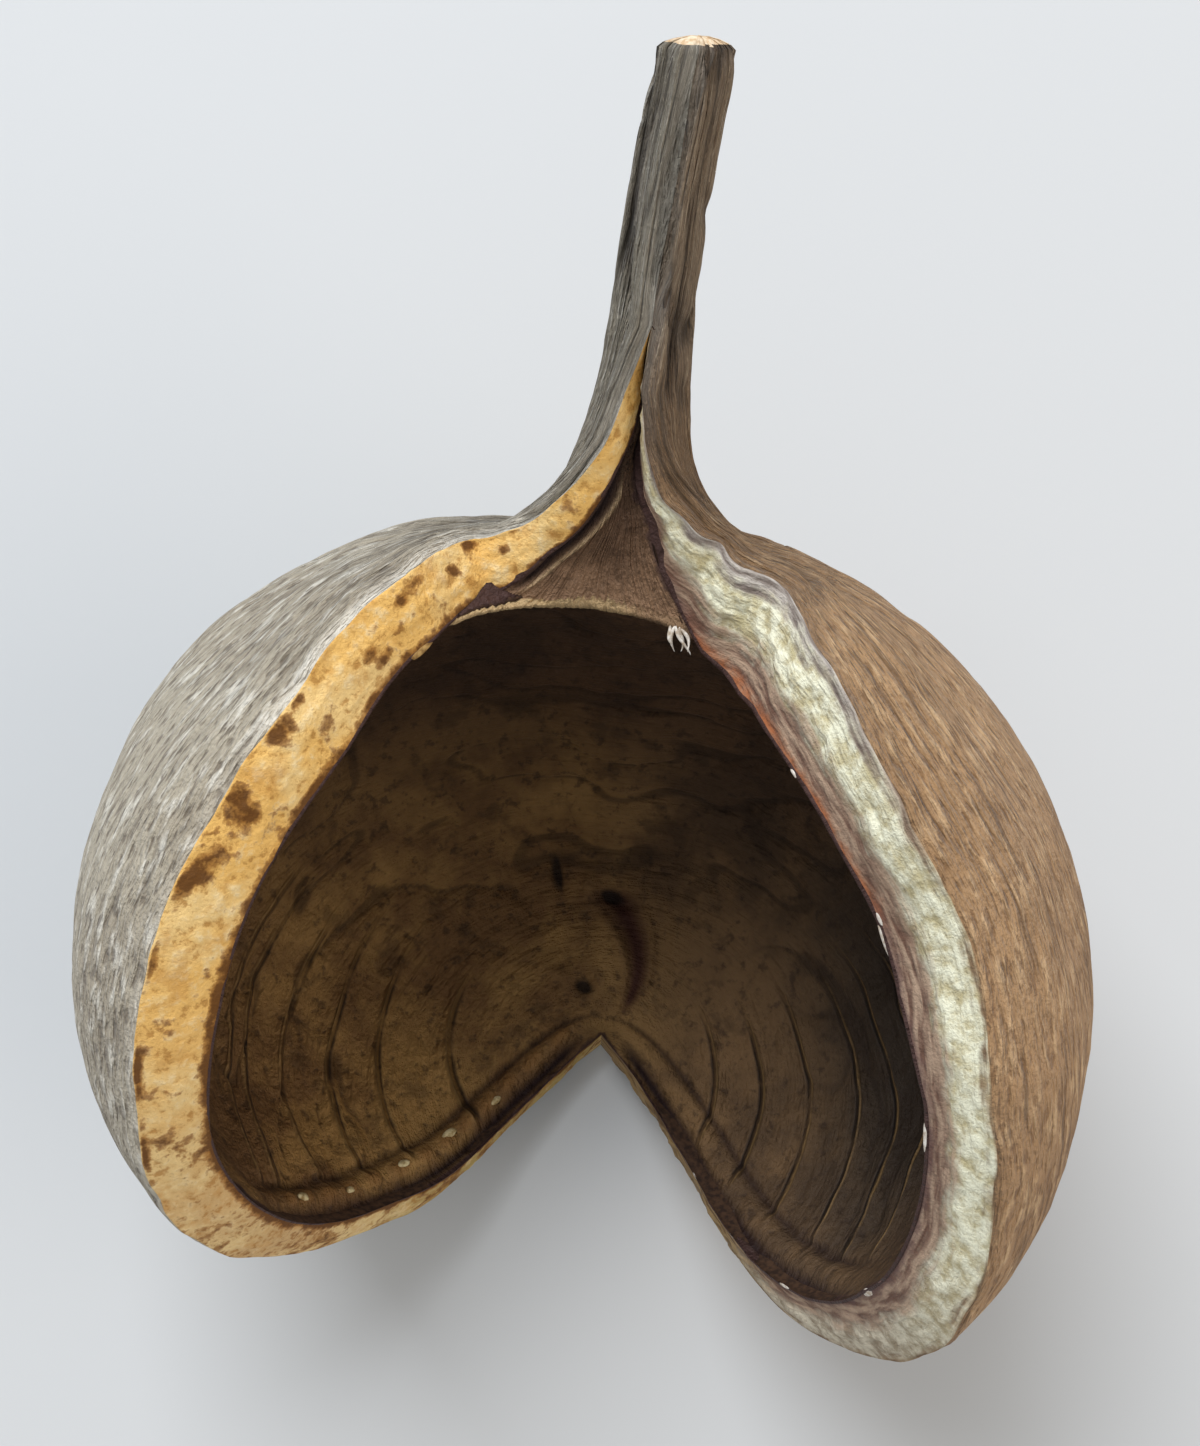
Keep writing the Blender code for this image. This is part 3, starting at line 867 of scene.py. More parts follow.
def section_lengths():
    """Lengths along the skin of the neck's sections, closest together round the lip."""
    split = np.linspace(SPLIT_TOP, LIP_AT - MM, SPLIT_ROWS + 1)[1:]
    lip = np.linspace(LIP_AT - MM, NECK_END, LIP_ROWS + 1)[1:]
    return np.concatenate([split, lip])


def furrow_depth(places, along, measures, seed):
    """Depth of one kind of furrow, in metres, and how deep in it each place is."""
    cell, width, depth, fade_in, fade_out = measures
    inside = hump(lattice_noise(places, cell, seed), width)
    inside = inside * smooth(*fade_in, along) * (1.0 - smooth(*fade_out, along))
    return depth * inside, inside


def skin_form(skins, lengths, v):
    """The skin with its furrows, and how deep in a furrow each place is, which the skin's material
    turns into painted shade.
    """
    along = np.repeat(lengths[:, None], len(v), axis=1)
    across = np.repeat(v[None, :] * SKIN_WIDTH, len(lengths), axis=0)
    normals = grid_normals(skins)
    if np.sum(normals * skins) < 0.0:
        normals = -normals
    whole = lengths <= SPLIT_TOP
    seam = unit(normals[whole, 0] + normals[whole, -1])
    normals[whole, 0] = seam
    normals[whole, -1] = seam
    steps = np.linalg.norm(np.diff(skins, axis=1), axis=2)
    run = np.concatenate([np.zeros((len(lengths), 1)), np.cumsum(steps, axis=1)], axis=1)
    edge = np.minimum(run, run[:, -1:] - run)
    wander = FURROW_WANDER * rough(skins, (FURROW_WANDER_SIZE,) * 3, FURROW_WANDER_SEED)
    places = np.stack([across + wander, along], axis=-1)
    stalk, in_stalk = furrow_depth(places, along, STALK_FURROWS, STALK_SEED)
    neck, in_neck = furrow_depth(places, along, NECK_FURROWS, NECK_SEED)
    rim, in_rim = furrow_depth(places, along, RIM_FURROWS, RIM_SEED)
    near_rim = hump(edge, RIM_FURROWS_REACH)
    form = -stalk - neck - rim * near_rim
    to_seam = SKIN_WIDTH - np.abs(across)
    in_split = hump(to_seam, SPLIT_FURROW_WIDTH) * (1.0 - smooth(SPLIT_TOP, 0.0, along))
    in_split = in_split * smooth(lengths[0], lengths[0] + SPLIT_FURROW_FADE, along)
    form -= SPLIT_FURROW_DEPTH * in_split
    swell = SKIN_SWELL * smooth(*SKIN_SWELL_GROWS, along)
    form += swell * rough(skins, (SKIN_SWELL_SIZE,) * 3, SKIN_SWELL_SEED)
    form += SKIN_NAP * rough(skins, (SKIN_NAP_SIZE,) * 3, SKIN_NAP_SEED, 2)
    opened = smooth(SPLIT_TOP, SPLIT_TOP + RIM_OPENS, along)
    form -= opened * RIM_ROUNDING * hump(edge, RIM_ROUNDING_WIDTH)
    only_along = np.stack([across * 0.0, along], axis=-1)
    ragged = lattice_noise(only_along, (1.0, RIM_WANDER_SIZE), RIM_WANDER_SEED)
    form += opened * RIM_WANDER * hump(edge, 2.0 * RIM_ROUNDING_WIDTH) * ragged
    form *= 1.0 - smooth(lengths[-1] - SKIN_FORM_ENDS, lengths[-1], along)
    calm = smooth(*CALM_GROWS, along) * (1.0 - smooth(*CALM_FADES, along))
    form *= 1.0 - CALM * calm * hump(to_seam, CALM_WIDTH)
    furrow_shade = np.clip(in_stalk + 0.7 * in_neck + in_rim * near_rim + in_split, 0.0, 1.0)
    return skins + normals * form[..., None], edge, furrow_shade


def face_form(outer, inner, beyond, lengths, side):
    """One parted face between its outer and inner edges, with torn wood on it. Also the
    outward direction and the direction across it at its inner edge, and its width."""
    p = np.linspace(0.0, 1.0, FACE_STEPS + 1)
    grid = outer[:, None] + (inner - outer)[:, None] * p[None, :, None]
    normals = grid_normals(grid)
    flip = np.sign(np.sum(normals * beyond[:, None], axis=-1, keepdims=True))
    normals = normals * np.where(flip == 0.0, 1.0, flip)
    width = np.linalg.norm(inner - outer, axis=1)
    along = np.repeat(lengths[:, None], len(p), axis=1)
    across = width[:, None] * p[None, :]
    places = np.stack([across, along], axis=-1)
    window = np.sqrt(np.sin(math.pi * p))[None, :] * smooth(*FACE_FORM_WIDTHS, width)[:, None]
    swell = FACE_SWELL * rough(grid, (FACE_SWELL_SIZE,) * 3, FACE_SWELL_SEED)
    tear = rough(places, TEAR_SIZE, TEAR_SEED[side])
    if side < 0:
        form = swell + LEFT_TEAR * tear
        form = form + LEFT_CROWN * np.sin(math.pi * p)[None, :]
    else:
        moved = PALE_BAND_WANDER * rough(places, PALE_BAND_WANDER_SIZE, BAND_SEED)
        band = hump(p[None, :] + moved - PALE_BAND, PALE_BAND_WIDTH)
        form = swell + RIGHT_TEAR * tear * (0.5 + band)
        form = form + PALE_BAND_HEIGHT * (band - PALE_BAND_SUNK)
    form = form * window * (1.0 - smooth(lengths[-1] - FACE_FORM_ENDS, lengths[-1], along))
    return grid + normals * form[..., None], normals[:, -1], unit(inner - outer), width


def lining_form(inner, lengths, v):
    """The lining with its relief, which way is out of it, and what the looks need: the
    distance from its edge, the ribs, the lip and the groove."""
    along = np.repeat(lengths[:, None], len(v), axis=1)
    across = np.repeat(v[None, :] * LINING_WIDTH, len(lengths), axis=0)
    normals = grid_normals(inner)
    middle = (len(lengths) * 2) // 3
    if np.sum(normals[middle:] * inner[middle:]) > 0.0:
        normals = -normals
    steps = np.linalg.norm(np.diff(inner, axis=1), axis=2)
    run = np.concatenate([np.zeros((len(lengths), 1)), np.cumsum(steps, axis=1)], axis=1)
    edge = np.minimum(run, run[:, -1:] - run)
    past = np.array([past_lip(a, v) for a in lengths])
    in_bowl = smooth(NECK_END, NECK_END + BOWL_GROWS, along)
    form = in_bowl * LINING_SWELL * rough(inner, (LINING_SWELL_SIZE,) * 3, LINING_SWELL_SEED)
    warp = LINING_WARP * rough(inner, (LINING_WARP_SIZE,) * 3, LINING_WARP_SEED)
    warped = np.stack([along * CREASE_STRETCH + warp, across], -1)
    crease = hump(lattice_noise(warped, CREASE_SIZE, CREASE_SEED), CREASE_WIDTH)
    in_creases = in_bowl * smooth(*CREASES_FROM_EDGE, edge) * (1.0 - smooth(*CREASES_FADE, along))
    form -= CREASE * crease * in_creases
    ribs = np.zeros_like(along)
    wave = RIB_WAVE * lattice_noise(inner, (RIB_WAVE_SIZE,) * 3, RIB_WAVE_SEED)
    phase = np.zeros_like(along)
    ridged = np.zeros_like(along)
    for side, places in ((-1, LEFT_RIBS), (1, RIGHT_RIBS)):
        away = np.clip(-side * v[None, :], 0.0, 1.0)
        shift = RIB_LEAN[side] * (away - RIB_LEAN_FROM)
        shift = shift - RIB_BEND * np.maximum(RIB_BEND_FROM - away, 0.0) ** 2
        reached = smooth(*RIBS_RISE, away) * (1.0 - smooth(*RIBS_FALL, away))
        here = side * v[None, :] < 0.0
        phase = np.where(here, along - shift + wave, phase)
        ridged = np.where(here, reached + 0.0 * along, ridged)
        for place in places:
            ribs += reached * hump(along - place - shift + wave, RIB_WIDTH)
    form += RIB_HEIGHT * ribs
    bent_v = v[None, :] + MARKS_BEND * np.maximum(along - MARKS_BEND_FROM, 0.0)
    pit = np.zeros_like(along)
    for place, share, height, long, wide in MIDDLE_MARKS:
        mark = hump(along - place, long) * hump(bent_v - share, wide)
        form += height * mark
        pit = pit - np.sign(height) * mark
    begins = smooth(*SEED_STRIP_ENDS[:2], along)
    seed_strip = begins * (1.0 - smooth(*SEED_STRIP_ENDS[2:], along)) * hump(bent_v, SEED_STRIP_WIDTH)
    right_side = v[None, :] < 0.0
    lower = np.where(right_side, smooth(*LOWER_RIGHT, along), smooth(*LOWER_LEFT, along))
    lower = lower * (1.0 - smooth(*LOWER_ENDS, along))
    turn = 2.0 * math.pi * along / BEAD_PITCH + BEAD_WANDER * warp / LINING_WARP
    beads = 0.5 + 0.5 * np.cos(turn)
    bead = hump(edge - BEAD_AT, BEAD_WIDTH) * (BEAD_LOW + (1.0 - BEAD_LOW) * np.sqrt(beads))
    groove = hump(edge - GROOVE_AT, GROOVE_WIDTH)
    groove = groove + INNER_GROOVE_SHARE * hump(edge - INNER_GROOVE_AT, INNER_GROOVE_WIDTH)
    bead = bead * np.where(right_side, RIGHT_BEADS, 1.0)
    form += lower * (BEAD_HEIGHT * bead - GROOVE_DEPTH * groove)
    lip = 4.0 * past * (1.0 - past)
    stretched = np.stack([across, along * PANEL_FIBRE_STRETCH], -1)
    fibre = rough(stretched, (PANEL_FIBRE_SIZE,) * 2, PANEL_FIBRE_SEED, 2)
    form += (1.0 - in_bowl) * (PANEL_FIBRE * fibre * (1.0 - past) + LIP_CROWN * lip)
    beside = (v[None, :] > 0.0) * (1.0 - smooth(*STRIP_PAST_LIP, past))
    beside = beside * (1.0 - smooth(*STRIP_ENDS, along))
    strip = beside * hump(edge - STRIP_AT, STRIP_WIDTH)
    pale_line = beside * hump(edge - PALE_LINE_AT, PALE_LINE_WIDTH)
    form += PALE_LINE_HEIGHT * pale_line - STRIP_DEPTH * strip
    left_share = np.maximum(v[None, :], 0.0)
    lip_at = LIP_AT + LIP_LEFT_LATER * left_share**LIP_LEFT_CURVE
    only_across = np.stack([across, across * 0.0], -1)
    ragged = LIP_RAGGED * rough(only_across, (LIP_RAGGED_SIZE, 1.0), LIP_SEED)
    above = lip_at - LIP_BAND[0] - LIP_BAND[1] * left_share**3 + ragged
    band = smooth(above, above + LIP_BAND_SOFT, along) * (1.0 - smooth(*LIP_BAND_ENDS, past))
    band = band * (1.0 - LIP_BAND_LOST * smooth(*LIP_BAND_RIGHT, -v[None, :]))
    form *= smooth(0.0, RELIEF_FROM_EDGE, edge)
    form *= 1.0 - smooth(lengths[-1] - RELIEF_ENDS, lengths[-1], along)
    form *= smooth(lengths[0], lengths[0] + RELIEF_GROWS, along)
    looks = {
        "edge": edge,
        "phase": phase,
        "ridged": ridged,
        "lip": past,
        "band": band,
        "strip": strip,
        "pale_line": pale_line,
        "seed_strip": seed_strip,
        "pit": pit,
        "groove": lower * groove,
        "bead": lower * bead,
        "crease": crease * in_creases,
    }
    return inner + normals * form[..., None], normals, looks


def numbered_sphere(name, rings, around):
    """A closed sphere, and the ring and the place in its ring of every point on it."""
    bpy.ops.object.select_all(action="DESELECT")
    bpy.ops.mesh.primitive_uv_sphere_add(segments=around, ring_count=rings + 1, radius=1.0)
    piece = bpy.context.object
    piece.name = name
    piece.data.name = name
    co = np.empty(len(piece.data.vertices) * 3)
    piece.data.vertices.foreach_get("co", co)
    co = co.reshape(-1, 3)
    ring = np.rint(np.arccos(np.clip(co[:, 2], -1.0, 1.0)) / math.pi * (rings + 1)).astype(int) - 1
    turn = np.arctan2(co[:, 1], co[:, 0]) / (2.0 * math.pi) * around
    turn -= turn[ring == 0][0]
    return piece, ring, np.rint(turn).astype(int) % around


def at_points(grid, ring, place):
    """Values of a grid of sections at every point of the sphere, poles included."""
    return grid[np.clip(ring, 0, len(grid) - 1), place]


def shape_sphere(piece, ring, place, grid, first_pole, last_pole):
    """Moves the sphere's points to the sections of the pod."""
    co = at_points(grid, ring, place)
    co[ring < 0] = first_pole
    co[ring >= len(grid)] = last_pole
    piece.data.vertices.foreach_set("co", rested(co).ravel())


def add_values(piece, name, values):
    attribute = piece.data.attributes.new(name, "FLOAT", "POINT")
    attribute.data.foreach_set("value", np.asarray(values, np.float32))


def face_places(piece, ring, place, around):
    """For every face: its ring, and the place where it starts. For every corner: the
    ring, and the place, which runs on past the last one."""
    mesh = piece.data
    vertex = np.empty(len(mesh.loops), int)
    mesh.loops.foreach_get("vertex_index", vertex)
    start = np.empty(len(mesh.polygons), int)
    mesh.polygons.foreach_get("loop_start", start)
    face = np.repeat(np.arange(len(start)), np.diff(np.append(start, len(vertex))))
    corner_ring = ring[vertex]
    corner_place = place[vertex]
    last_ring = ring.max()
    pole = (corner_ring < 0) | (corner_ring == last_ring)
    low = np.full(len(start), around)
    high = np.full(len(start), -1)
    np.minimum.at(low, face[~pole], corner_place[~pole])
    np.maximum.at(high, face[~pole], corner_place[~pole])
    wraps = high - low > around // 2
    first = np.where(wraps, around - 1, low)
    corner_place = np.where(pole, first[face], corner_place)
    past_start = wraps[face] & (corner_place < around // 2) & ~pole
    corner_place = np.where(past_start, corner_place + around, corner_place)
    face_ring = np.full(len(start), last_ring)
    np.minimum.at(face_ring, face, corner_ring)
    return face, face_ring, first, corner_ring, corner_place


def add_grain(piece, face, first, corner_ring, corner_place, zones, rows):
    """A UV map in metres, across and along each zone of the surface. A zone is where it
    starts in the ring and how far across each of its places lies, ring by ring."""
    across = np.zeros(len(face))
    last = len(rows) - 1
    row = np.clip(corner_ring, 0, last)
    for start, grid in zones:
        inside = (first >= start) & (first < start + grid.shape[1] - 1)
        here = inside[face]
        across[here] = grid[row[here], corner_place[here] - start]
    uv = np.stack([across, rows[row]], axis=-1)
    layer = piece.data.uv_layers.new(name="grain")
    layer.data.foreach_set("uv", uv.astype(np.float32).ravel())


def close_up(piece):
    """Merges the points that meet, in the split and at the notch, and turns faces outwards."""
    bpy.ops.object.select_all(action="DESELECT")
    bpy.context.view_layer.objects.active = piece
    piece.select_set(True)
    bpy.ops.object.mode_set(mode="EDIT")
    bpy.ops.mesh.select_all(action="SELECT")
    bpy.ops.mesh.remove_doubles(threshold=MERGE_DISTANCE)
    bpy.ops.mesh.dissolve_degenerate(threshold=MERGE_DISTANCE / 10.0)
    bpy.ops.mesh.normals_make_consistent(inside=False)
    bpy.ops.object.mode_set(mode="OBJECT")
    bpy.ops.object.shade_smooth()


def rim_frames(skins, inner, lengths):
    """Both parted faces with their torn wood, as face_form gives them, right one first."""
    right = face_form(skins[:, -1], inner[:, 0], skins[:, -1] - skins[:, -2], lengths, 1)
    left = face_form(skins[:, 0], inner[:, -1], skins[:, 0] - skins[:, 1], lengths, -1)
    return right, left


def pod_sections():
    """All sections of the pod: lengths, skin rows and lining rows, from the cut end down."""
    skin_v = spread(SKIN_STEPS, CROWDING)
    lining_v = np.linspace(-1.0, 1.0, LINING_STEPS + 1)
    stalk = np.linspace(tip_along(), SPLIT_TOP, STALK_ROWS + 1)
    neck = section_lengths()
    rings = stalk_sections(stalk, skin_v)
    neck_skins, neck_linings = neck_sections(neck, skin_v, lining_v)
    bowl_skins, bowl_linings = bowl_sections(skin_v, lining_v)
    lengths = np.concatenate([stalk, neck, bowl_lengths()])
    linings = [np.repeat(ring[:1], len(lining_v), axis=0) for ring in rings]
    skins = np.array([*rings, *joined(neck_skins, bowl_skins)])
    return lengths, skin_v, skins, lining_v, np.array(
        [*linings, *joined(neck_linings, bowl_linings)]
    )


def hidden_columns():
    """Columns of the lining that its hidden side follows, closest near the rims."""
    share = (spread(HIDDEN_STEPS, HIDDEN_CROWDING) + 1.0) / 2.0
    return np.rint(share * (LINING_STEPS - 2 * HIDDEN_INSET) + HIDDEN_INSET).astype(int)


def behind(inner, skins, skin_v, lining_v, picks, depth, lengths):
    """Points a little behind the lining, towards the skin, never more than a third of the
    way to it, and closer beside the lip's ends, where the wall is thin."""
    v = lining_v[picks][None, :]
    lip_at = LIP_AT + LIP_LEFT_LATER * np.maximum(v, 0.0) ** LIP_LEFT_CURVE
    thin = hump(lengths[:, None] - lip_at - THIN_PAST_LIP, THIN_LENGTH)
    thin = thin * smooth(*THIN_LIP_SIDES, np.abs(v))
    near_rim = 1.0 - THIN_AT_RIM * smooth(*THIN_RIM_SIDES, np.abs(v))
    depth = (depth * (1.0 - THIN_AT_LIP * thin) * near_rim)[..., None]
    partner = np.abs(skin_v[None, :] + lining_v[picks, None]).argmin(axis=1)
    start = inner[:, picks]
    toward = skins[:, partner] - start
    far = np.linalg.norm(toward, axis=-1, keepdims=True)
    return start + toward * np.minimum(depth / np.maximum(far, 1e-9), HIDDEN_REACH)


def build_husk(sections):
    """The husk: the stalk, the skin of both valves and the parted faces. Its inside is
    hidden behind the lining."""
    lengths, skin_v, plain_skins, lining_v, inner = sections
    stalk_rows = STALK_ROWS + 1
    skins, edge, furrow_shade = skin_form(plain_skins, lengths, skin_v)
    shut = (1.0 - smooth(*SPLIT_DEEPENS, lengths))[:, None, None]
    inner = inner + (skins.mean(axis=1, keepdims=True) - inner) * SPLIT_DEEPER * shut
    inner[:stalk_rows] = skins[:stalk_rows, :1]
    right, left = rim_frames(skins, inner, lengths)
    picks = hidden_columns()
    hidden = behind(inner, plain_skins, skin_v, lining_v, picks, HUSK_BEHIND_LINING, lengths)
    hidden[:stalk_rows] = inner[:stalk_rows, picks]
    right_face = right[0][:, 1:]
    left_face = left[0][:, :0:-1]
    grid = np.concatenate([skins, right_face, hidden, left_face], axis=1)
    ray = direction(NOTCH, np.float64(0.0))
    outer = ray * reach(ray)
    root = ray * (reach(ray) - NOTCH_WALL)
    share = np.linspace(0.0, 1.0, FACE_STEPS + 1)
    edge_line = outer + (root - outer) * share[:, None]
    last = np.concatenate(
        [
            np.repeat(outer[None], SKIN_STEPS + 1, axis=0),
            edge_line[1:],
            np.repeat(root[None], HIDDEN_STEPS + 1, axis=0),
            edge_line[:0:-1],
        ]
    )
    cut = []
    centre = grid[0].mean(axis=0)
    for share_out in CUT_END_RINGS:
        crown = CUT_END_STEP + CUT_END_CROWN * (1.0 - (share_out / CUT_END_INSET) ** 2)
        cut.append(centre + (grid[0] - centre) * share_out + np.array([0.0, crown, 0.0]))
    full = np.concatenate([np.array(cut), grid, last[None]])
    around = full.shape[1]
    piece, ring, place = numbered_sphere("husk", len(full), around)
    tip = centre + np.array([0.0, CUT_END_STEP + CUT_END_CROWN, 0.0])
    shape_sphere(piece, ring, place, full, tip, root)
    rows = np.concatenate([np.full(len(cut), lengths[0]), lengths, [lengths[-1] + MM]])
    front = len(cut)
    pad = ((front, 1), (0, 0))
    face_width = [np.pad(side[3], (front, 1), mode="edge")[:, None] for side in (right, left)]
    right_across = face_width[0] * share[None, :]
    left_across = face_width[1] * share[None, ::-1]
    skin_across = np.repeat(skin_v[None, :] * SKIN_WIDTH, len(rows), axis=0)
    right_start = SKIN_STEPS
    hidden_start = right_start + FACE_STEPS + 1
    left_start = hidden_start + HIDDEN_STEPS + 1
    face, face_ring, first, corner_ring, corner_place = face_places(piece, ring, place, around)
    hidden_across = np.zeros((len(rows), HIDDEN_STEPS + 3))
    zones = (
        (0, skin_across),
        (right_start, right_across),
        (hidden_start - 1, hidden_across),
        (left_start, left_across),
    )
    add_grain(piece, face, first, corner_ring, corner_place, zones, rows)
    zero = np.zeros((len(rows), HIDDEN_STEPS + 1))
    ones = zero + 1.0
    whole_edge = np.concatenate(
        [np.pad(edge, pad, mode="edge"), right_across[:, 1:], zero, left_across[:, :-1]], axis=1
    )
    whole_furrow_shade = np.concatenate(
        [np.pad(furrow_shade, pad, mode="edge"), right_across[:, 1:] * 0.0, ones, left_across[:, :-1] * 0.0],
        axis=1,
    )
    whole_face = np.concatenate(
        [
            skin_across * 0.0,
            np.repeat(share[None, 1:], len(rows), axis=0),
            ones,
            np.repeat(share[None, :0:-1], len(rows), axis=0),
        ],
        axis=1,
    )
    add_values(piece, "edge", at_points(whole_edge, ring, place) / MM)
    add_values(piece, "furrow_shade", at_points(whole_furrow_shade, ring, place))
    add_values(piece, "across_face", at_points(whole_face, ring, place))
    whole_along = np.repeat(rows[:, None], around, axis=1)
    stains = np.where(np.arange(around) >= left_start, stain(whole_along, whole_face), 0.0)
    add_values(piece, "stain", at_points(stains, ring, place))
    add_values(piece, "along", at_points(whole_along, ring, place) / MM)
    index = np.select(
        [face_ring < front - 1, first < right_start, first < hidden_start - 1, first < left_start],
        [3, 0, 1, 4],
        2,
    )
    piece.data.polygons.foreach_set("material_index", index.astype(np.int32))
    remove_pole(piece, ring == len(full))
    close_up(piece)
    return piece, right, left


def stain(along, share):
    """Brown stains of the left parted face, 1 in the middle of a stain."""
    total = np.zeros_like(along)
    for length, place, long, wide in STAINS:
        total += hump((along - length * MM) / MM, long) * hump(share - place, wide)
    return np.clip(total, 0.0, 1.0)


def remove_pole(piece, chosen):
    """Takes out the end point of the sphere, where the two parted faces meet in a line."""
    bm = bmesh.new()
    bm.from_mesh(piece.data)
    bm.verts.ensure_lookup_table()
    for k in np.flatnonzero(chosen):
        bmesh.ops.delete(bm, geom=[bm.verts[int(k)]], context="VERTS")
    bm.to_mesh(piece.data)
    bm.free()


def broken_edge(base, normal, across, lengths, side):
    """The lining's rounded broken edge along one parted face, from the cavity's side."""
    turn = np.linspace(0.0, math.pi, EDGE_STEPS + 1)[1:-1]
    place = np.stack([lengths, lengths * 0.0], axis=-1)
    torn = rough(place, (EDGE_TORN_SIZE, 1.0), EDGE_SEED[side])
    torn = EDGE_TORN_LEAST + (1.0 - EDGE_TORN_LEAST) * torn
    height = EDGE_PROUD[side] * torn * smooth(lengths[0], lengths[0] + EDGE_GROWS, lengths)
    height = height * (1.0 - smooth(lengths[-1] - EDGE_ENDS, lengths[-1], lengths))
    centre = base - across * EDGE_WIDTH[side] * EDGE_SET_BACK
    out = across[:, None] * np.cos(turn)[None, :, None] * EDGE_WIDTH[side]
    up = normal[:, None] * np.sin(turn)[None, :, None] * height[:, None, None]
    return centre[:, None] + out + up


def build_lining(sections, right, left):
    """The thin lining of the cavity with the panel and its lip in the neck."""
    lengths, skin_v, skins, lining_v, inner = sections
    keep = lengths > LINING_FROM
    lengths = lengths[keep]
    inner = inner[keep]
    form, normals, looks = lining_form(inner, lengths, lining_v)
    picks = hidden_columns()[::-1]
    hidden = behind(inner, skins[keep], skin_v, lining_v, picks, LINING_THICKNESS, lengths)
    left_edge = broken_edge(inner[:, -1], left[1][keep], left[2][keep], lengths, -1)
    right_edge = broken_edge(inner[:, 0], right[1][keep], right[2][keep], lengths, 1)
    grid = np.concatenate([form, left_edge, hidden, right_edge[:, ::-1]], axis=1)
    around = grid.shape[1]
    piece, ring, place = numbered_sphere("lining", len(grid), around)
    ray = direction(NOTCH, np.float64(0.0))
    root = ray * (reach(ray) - NOTCH_WALL)
    shape_sphere(piece, ring, place, grid, grid[0].mean(axis=0), root)
    face, _, first, corner_ring, corner_place = face_places(piece, ring, place, around)
    across = np.repeat(lining_v[None, :] * LINING_WIDTH, len(lengths), axis=0)
    rest = np.zeros((len(lengths), around - LINING_STEPS + 1))
    zones = ((0, across), (LINING_STEPS, rest))
    add_grain(piece, face, first, corner_ring, corner_place, zones, lengths)
    other = around - LINING_STEPS - 1
    for name, values in looks.items():
        scale = MM if name in ("edge", "phase") else 1.0
        tail = np.repeat(values[:, -1:] * 0.0, other, axis=1)
        add_values(
            piece, name, at_points(np.concatenate([values, tail], axis=1), ring, place) / scale
        )
    rows = np.repeat(lengths[:, None], around, axis=1)
    add_values(piece, "along", at_points(rows, ring, place) / MM)
    broken = np.zeros(around)
    broken[LINING_STEPS - 1 :] = 1.0
    broken[:2] = 1.0
    add_values(
        piece, "broken", at_points(np.repeat(broken[None], len(lengths), axis=0), ring, place)
    )
    close_up(piece)
    return piece, (lengths, form, normals, looks["edge"])


def add_bit(name, centre, long_way, out, size, seed):
    """A small ragged lump or flake, sunk halfway into what it grows on."""
    bpy.ops.object.select_all(action="DESELECT")
    bpy.ops.mesh.primitive_uv_sphere_add(segments=20, ring_count=12, radius=1.0)
    piece = bpy.context.object
    piece.name = name
    co = np.empty(len(piece.data.vertices) * 3)
    piece.data.vertices.foreach_get("co", co)
    co = co.reshape(-1, 3)
    co = co * (1.0 + BIT_ROUGH * rough(co + seed, (BIT_ROUGH_SIZE,) * 3, seed, 2))[:, None]
    out = unit(out)
    long_way = unit(long_way - out * (long_way @ out))
    frame = np.stack([long_way, np.cross(out, long_way), out])
    co = co * (np.array(size) * MM / 2.0) @ frame + centre
    piece.data.vertices.foreach_set("co", rested(co).ravel())
    return piece


def add_fibre(centre, way, length, seed):
    """One torn fibre that tapers and curls, with its root sunk in."""
    bpy.ops.object.select_all(action="DESELECT")
    bpy.ops.mesh.primitive_uv_sphere_add(segments=10, ring_count=16, radius=1.0)
    piece = bpy.context.object
    co = np.empty(len(piece.data.vertices) * 3)
    piece.data.vertices.foreach_get("co", co)
    co = co.reshape(-1, 3)
    along = (co[:, 2] + 1.0) / 2.0
    way = unit(np.array(way))
    side = unit(np.cross(way, np.array([0.0, 0.0, 1.0])))
    other = np.cross(side, way)
    thin = FIBRE_WIDTH * (FIBRE_ROOT - FIBRE_TAPER * along)
    curl = FIBRE_CURL * np.sin(FIBRE_TURN * along + seed) * along
    offset = side * (co[:, 0] * thin + curl)[:, None]
    offset = offset + other * (co[:, 1] * thin + curl * FIBRE_SIDEWAYS)[:, None]
    co = centre + way * ((along - FIBRE_SUNK) * length)[:, None] + offset
    piece.data.vertices.foreach_set("co", rested(co).ravel())
    return piece


def as_one(name, pieces):
    """Joins small pieces of one kind into one."""
    bpy.ops.object.select_all(action="DESELECT")
    for piece in pieces:
        piece.select_set(True)
    bpy.context.view_layer.objects.active = pieces[0]
    bpy.ops.object.join()
    bpy.ops.object.shade_smooth()
    whole = bpy.context.object
    whole.name = name
    whole.data.name = name
    return whole


def build_scars(surface):
    """The scars that seeds left in the swellings along the left lobe's lower margin."""
    lengths, form, normals, edge = surface
    half = form.shape[1] // 2
    bits = []
    for k, (along, inset, *size) in enumerate(SEED_SCARS):
        row = int(np.abs(lengths - along * MM).argmin())
        col = half + int(np.abs(edge[row, half:] - inset * MM).argmin())
        way = form[row + 2, col] - form[row - 2, col]
        bits.append(add_bit("scar", form[row, col], way, normals[row, col], size, SCAR_SEED + k))
    return as_one("seed_scars", bits)


def build_flakes(name, face, lengths, table, seed):
    """Ragged bits of dry membrane on the inner edge of one parted face."""
    grid = face[0]
    bits = []
    for k, (along, share, *size) in enumerate(table):
        row = int(np.abs(lengths - along * MM).argmin())
        col = int(round(share * (grid.shape[1] - 1)))
        way = grid[row + 1, col] - grid[row - 1, col]
        bits.append(add_bit("bit", grid[row, col], way, face[1][row], size, seed + k))
    return as_one(name, bits)


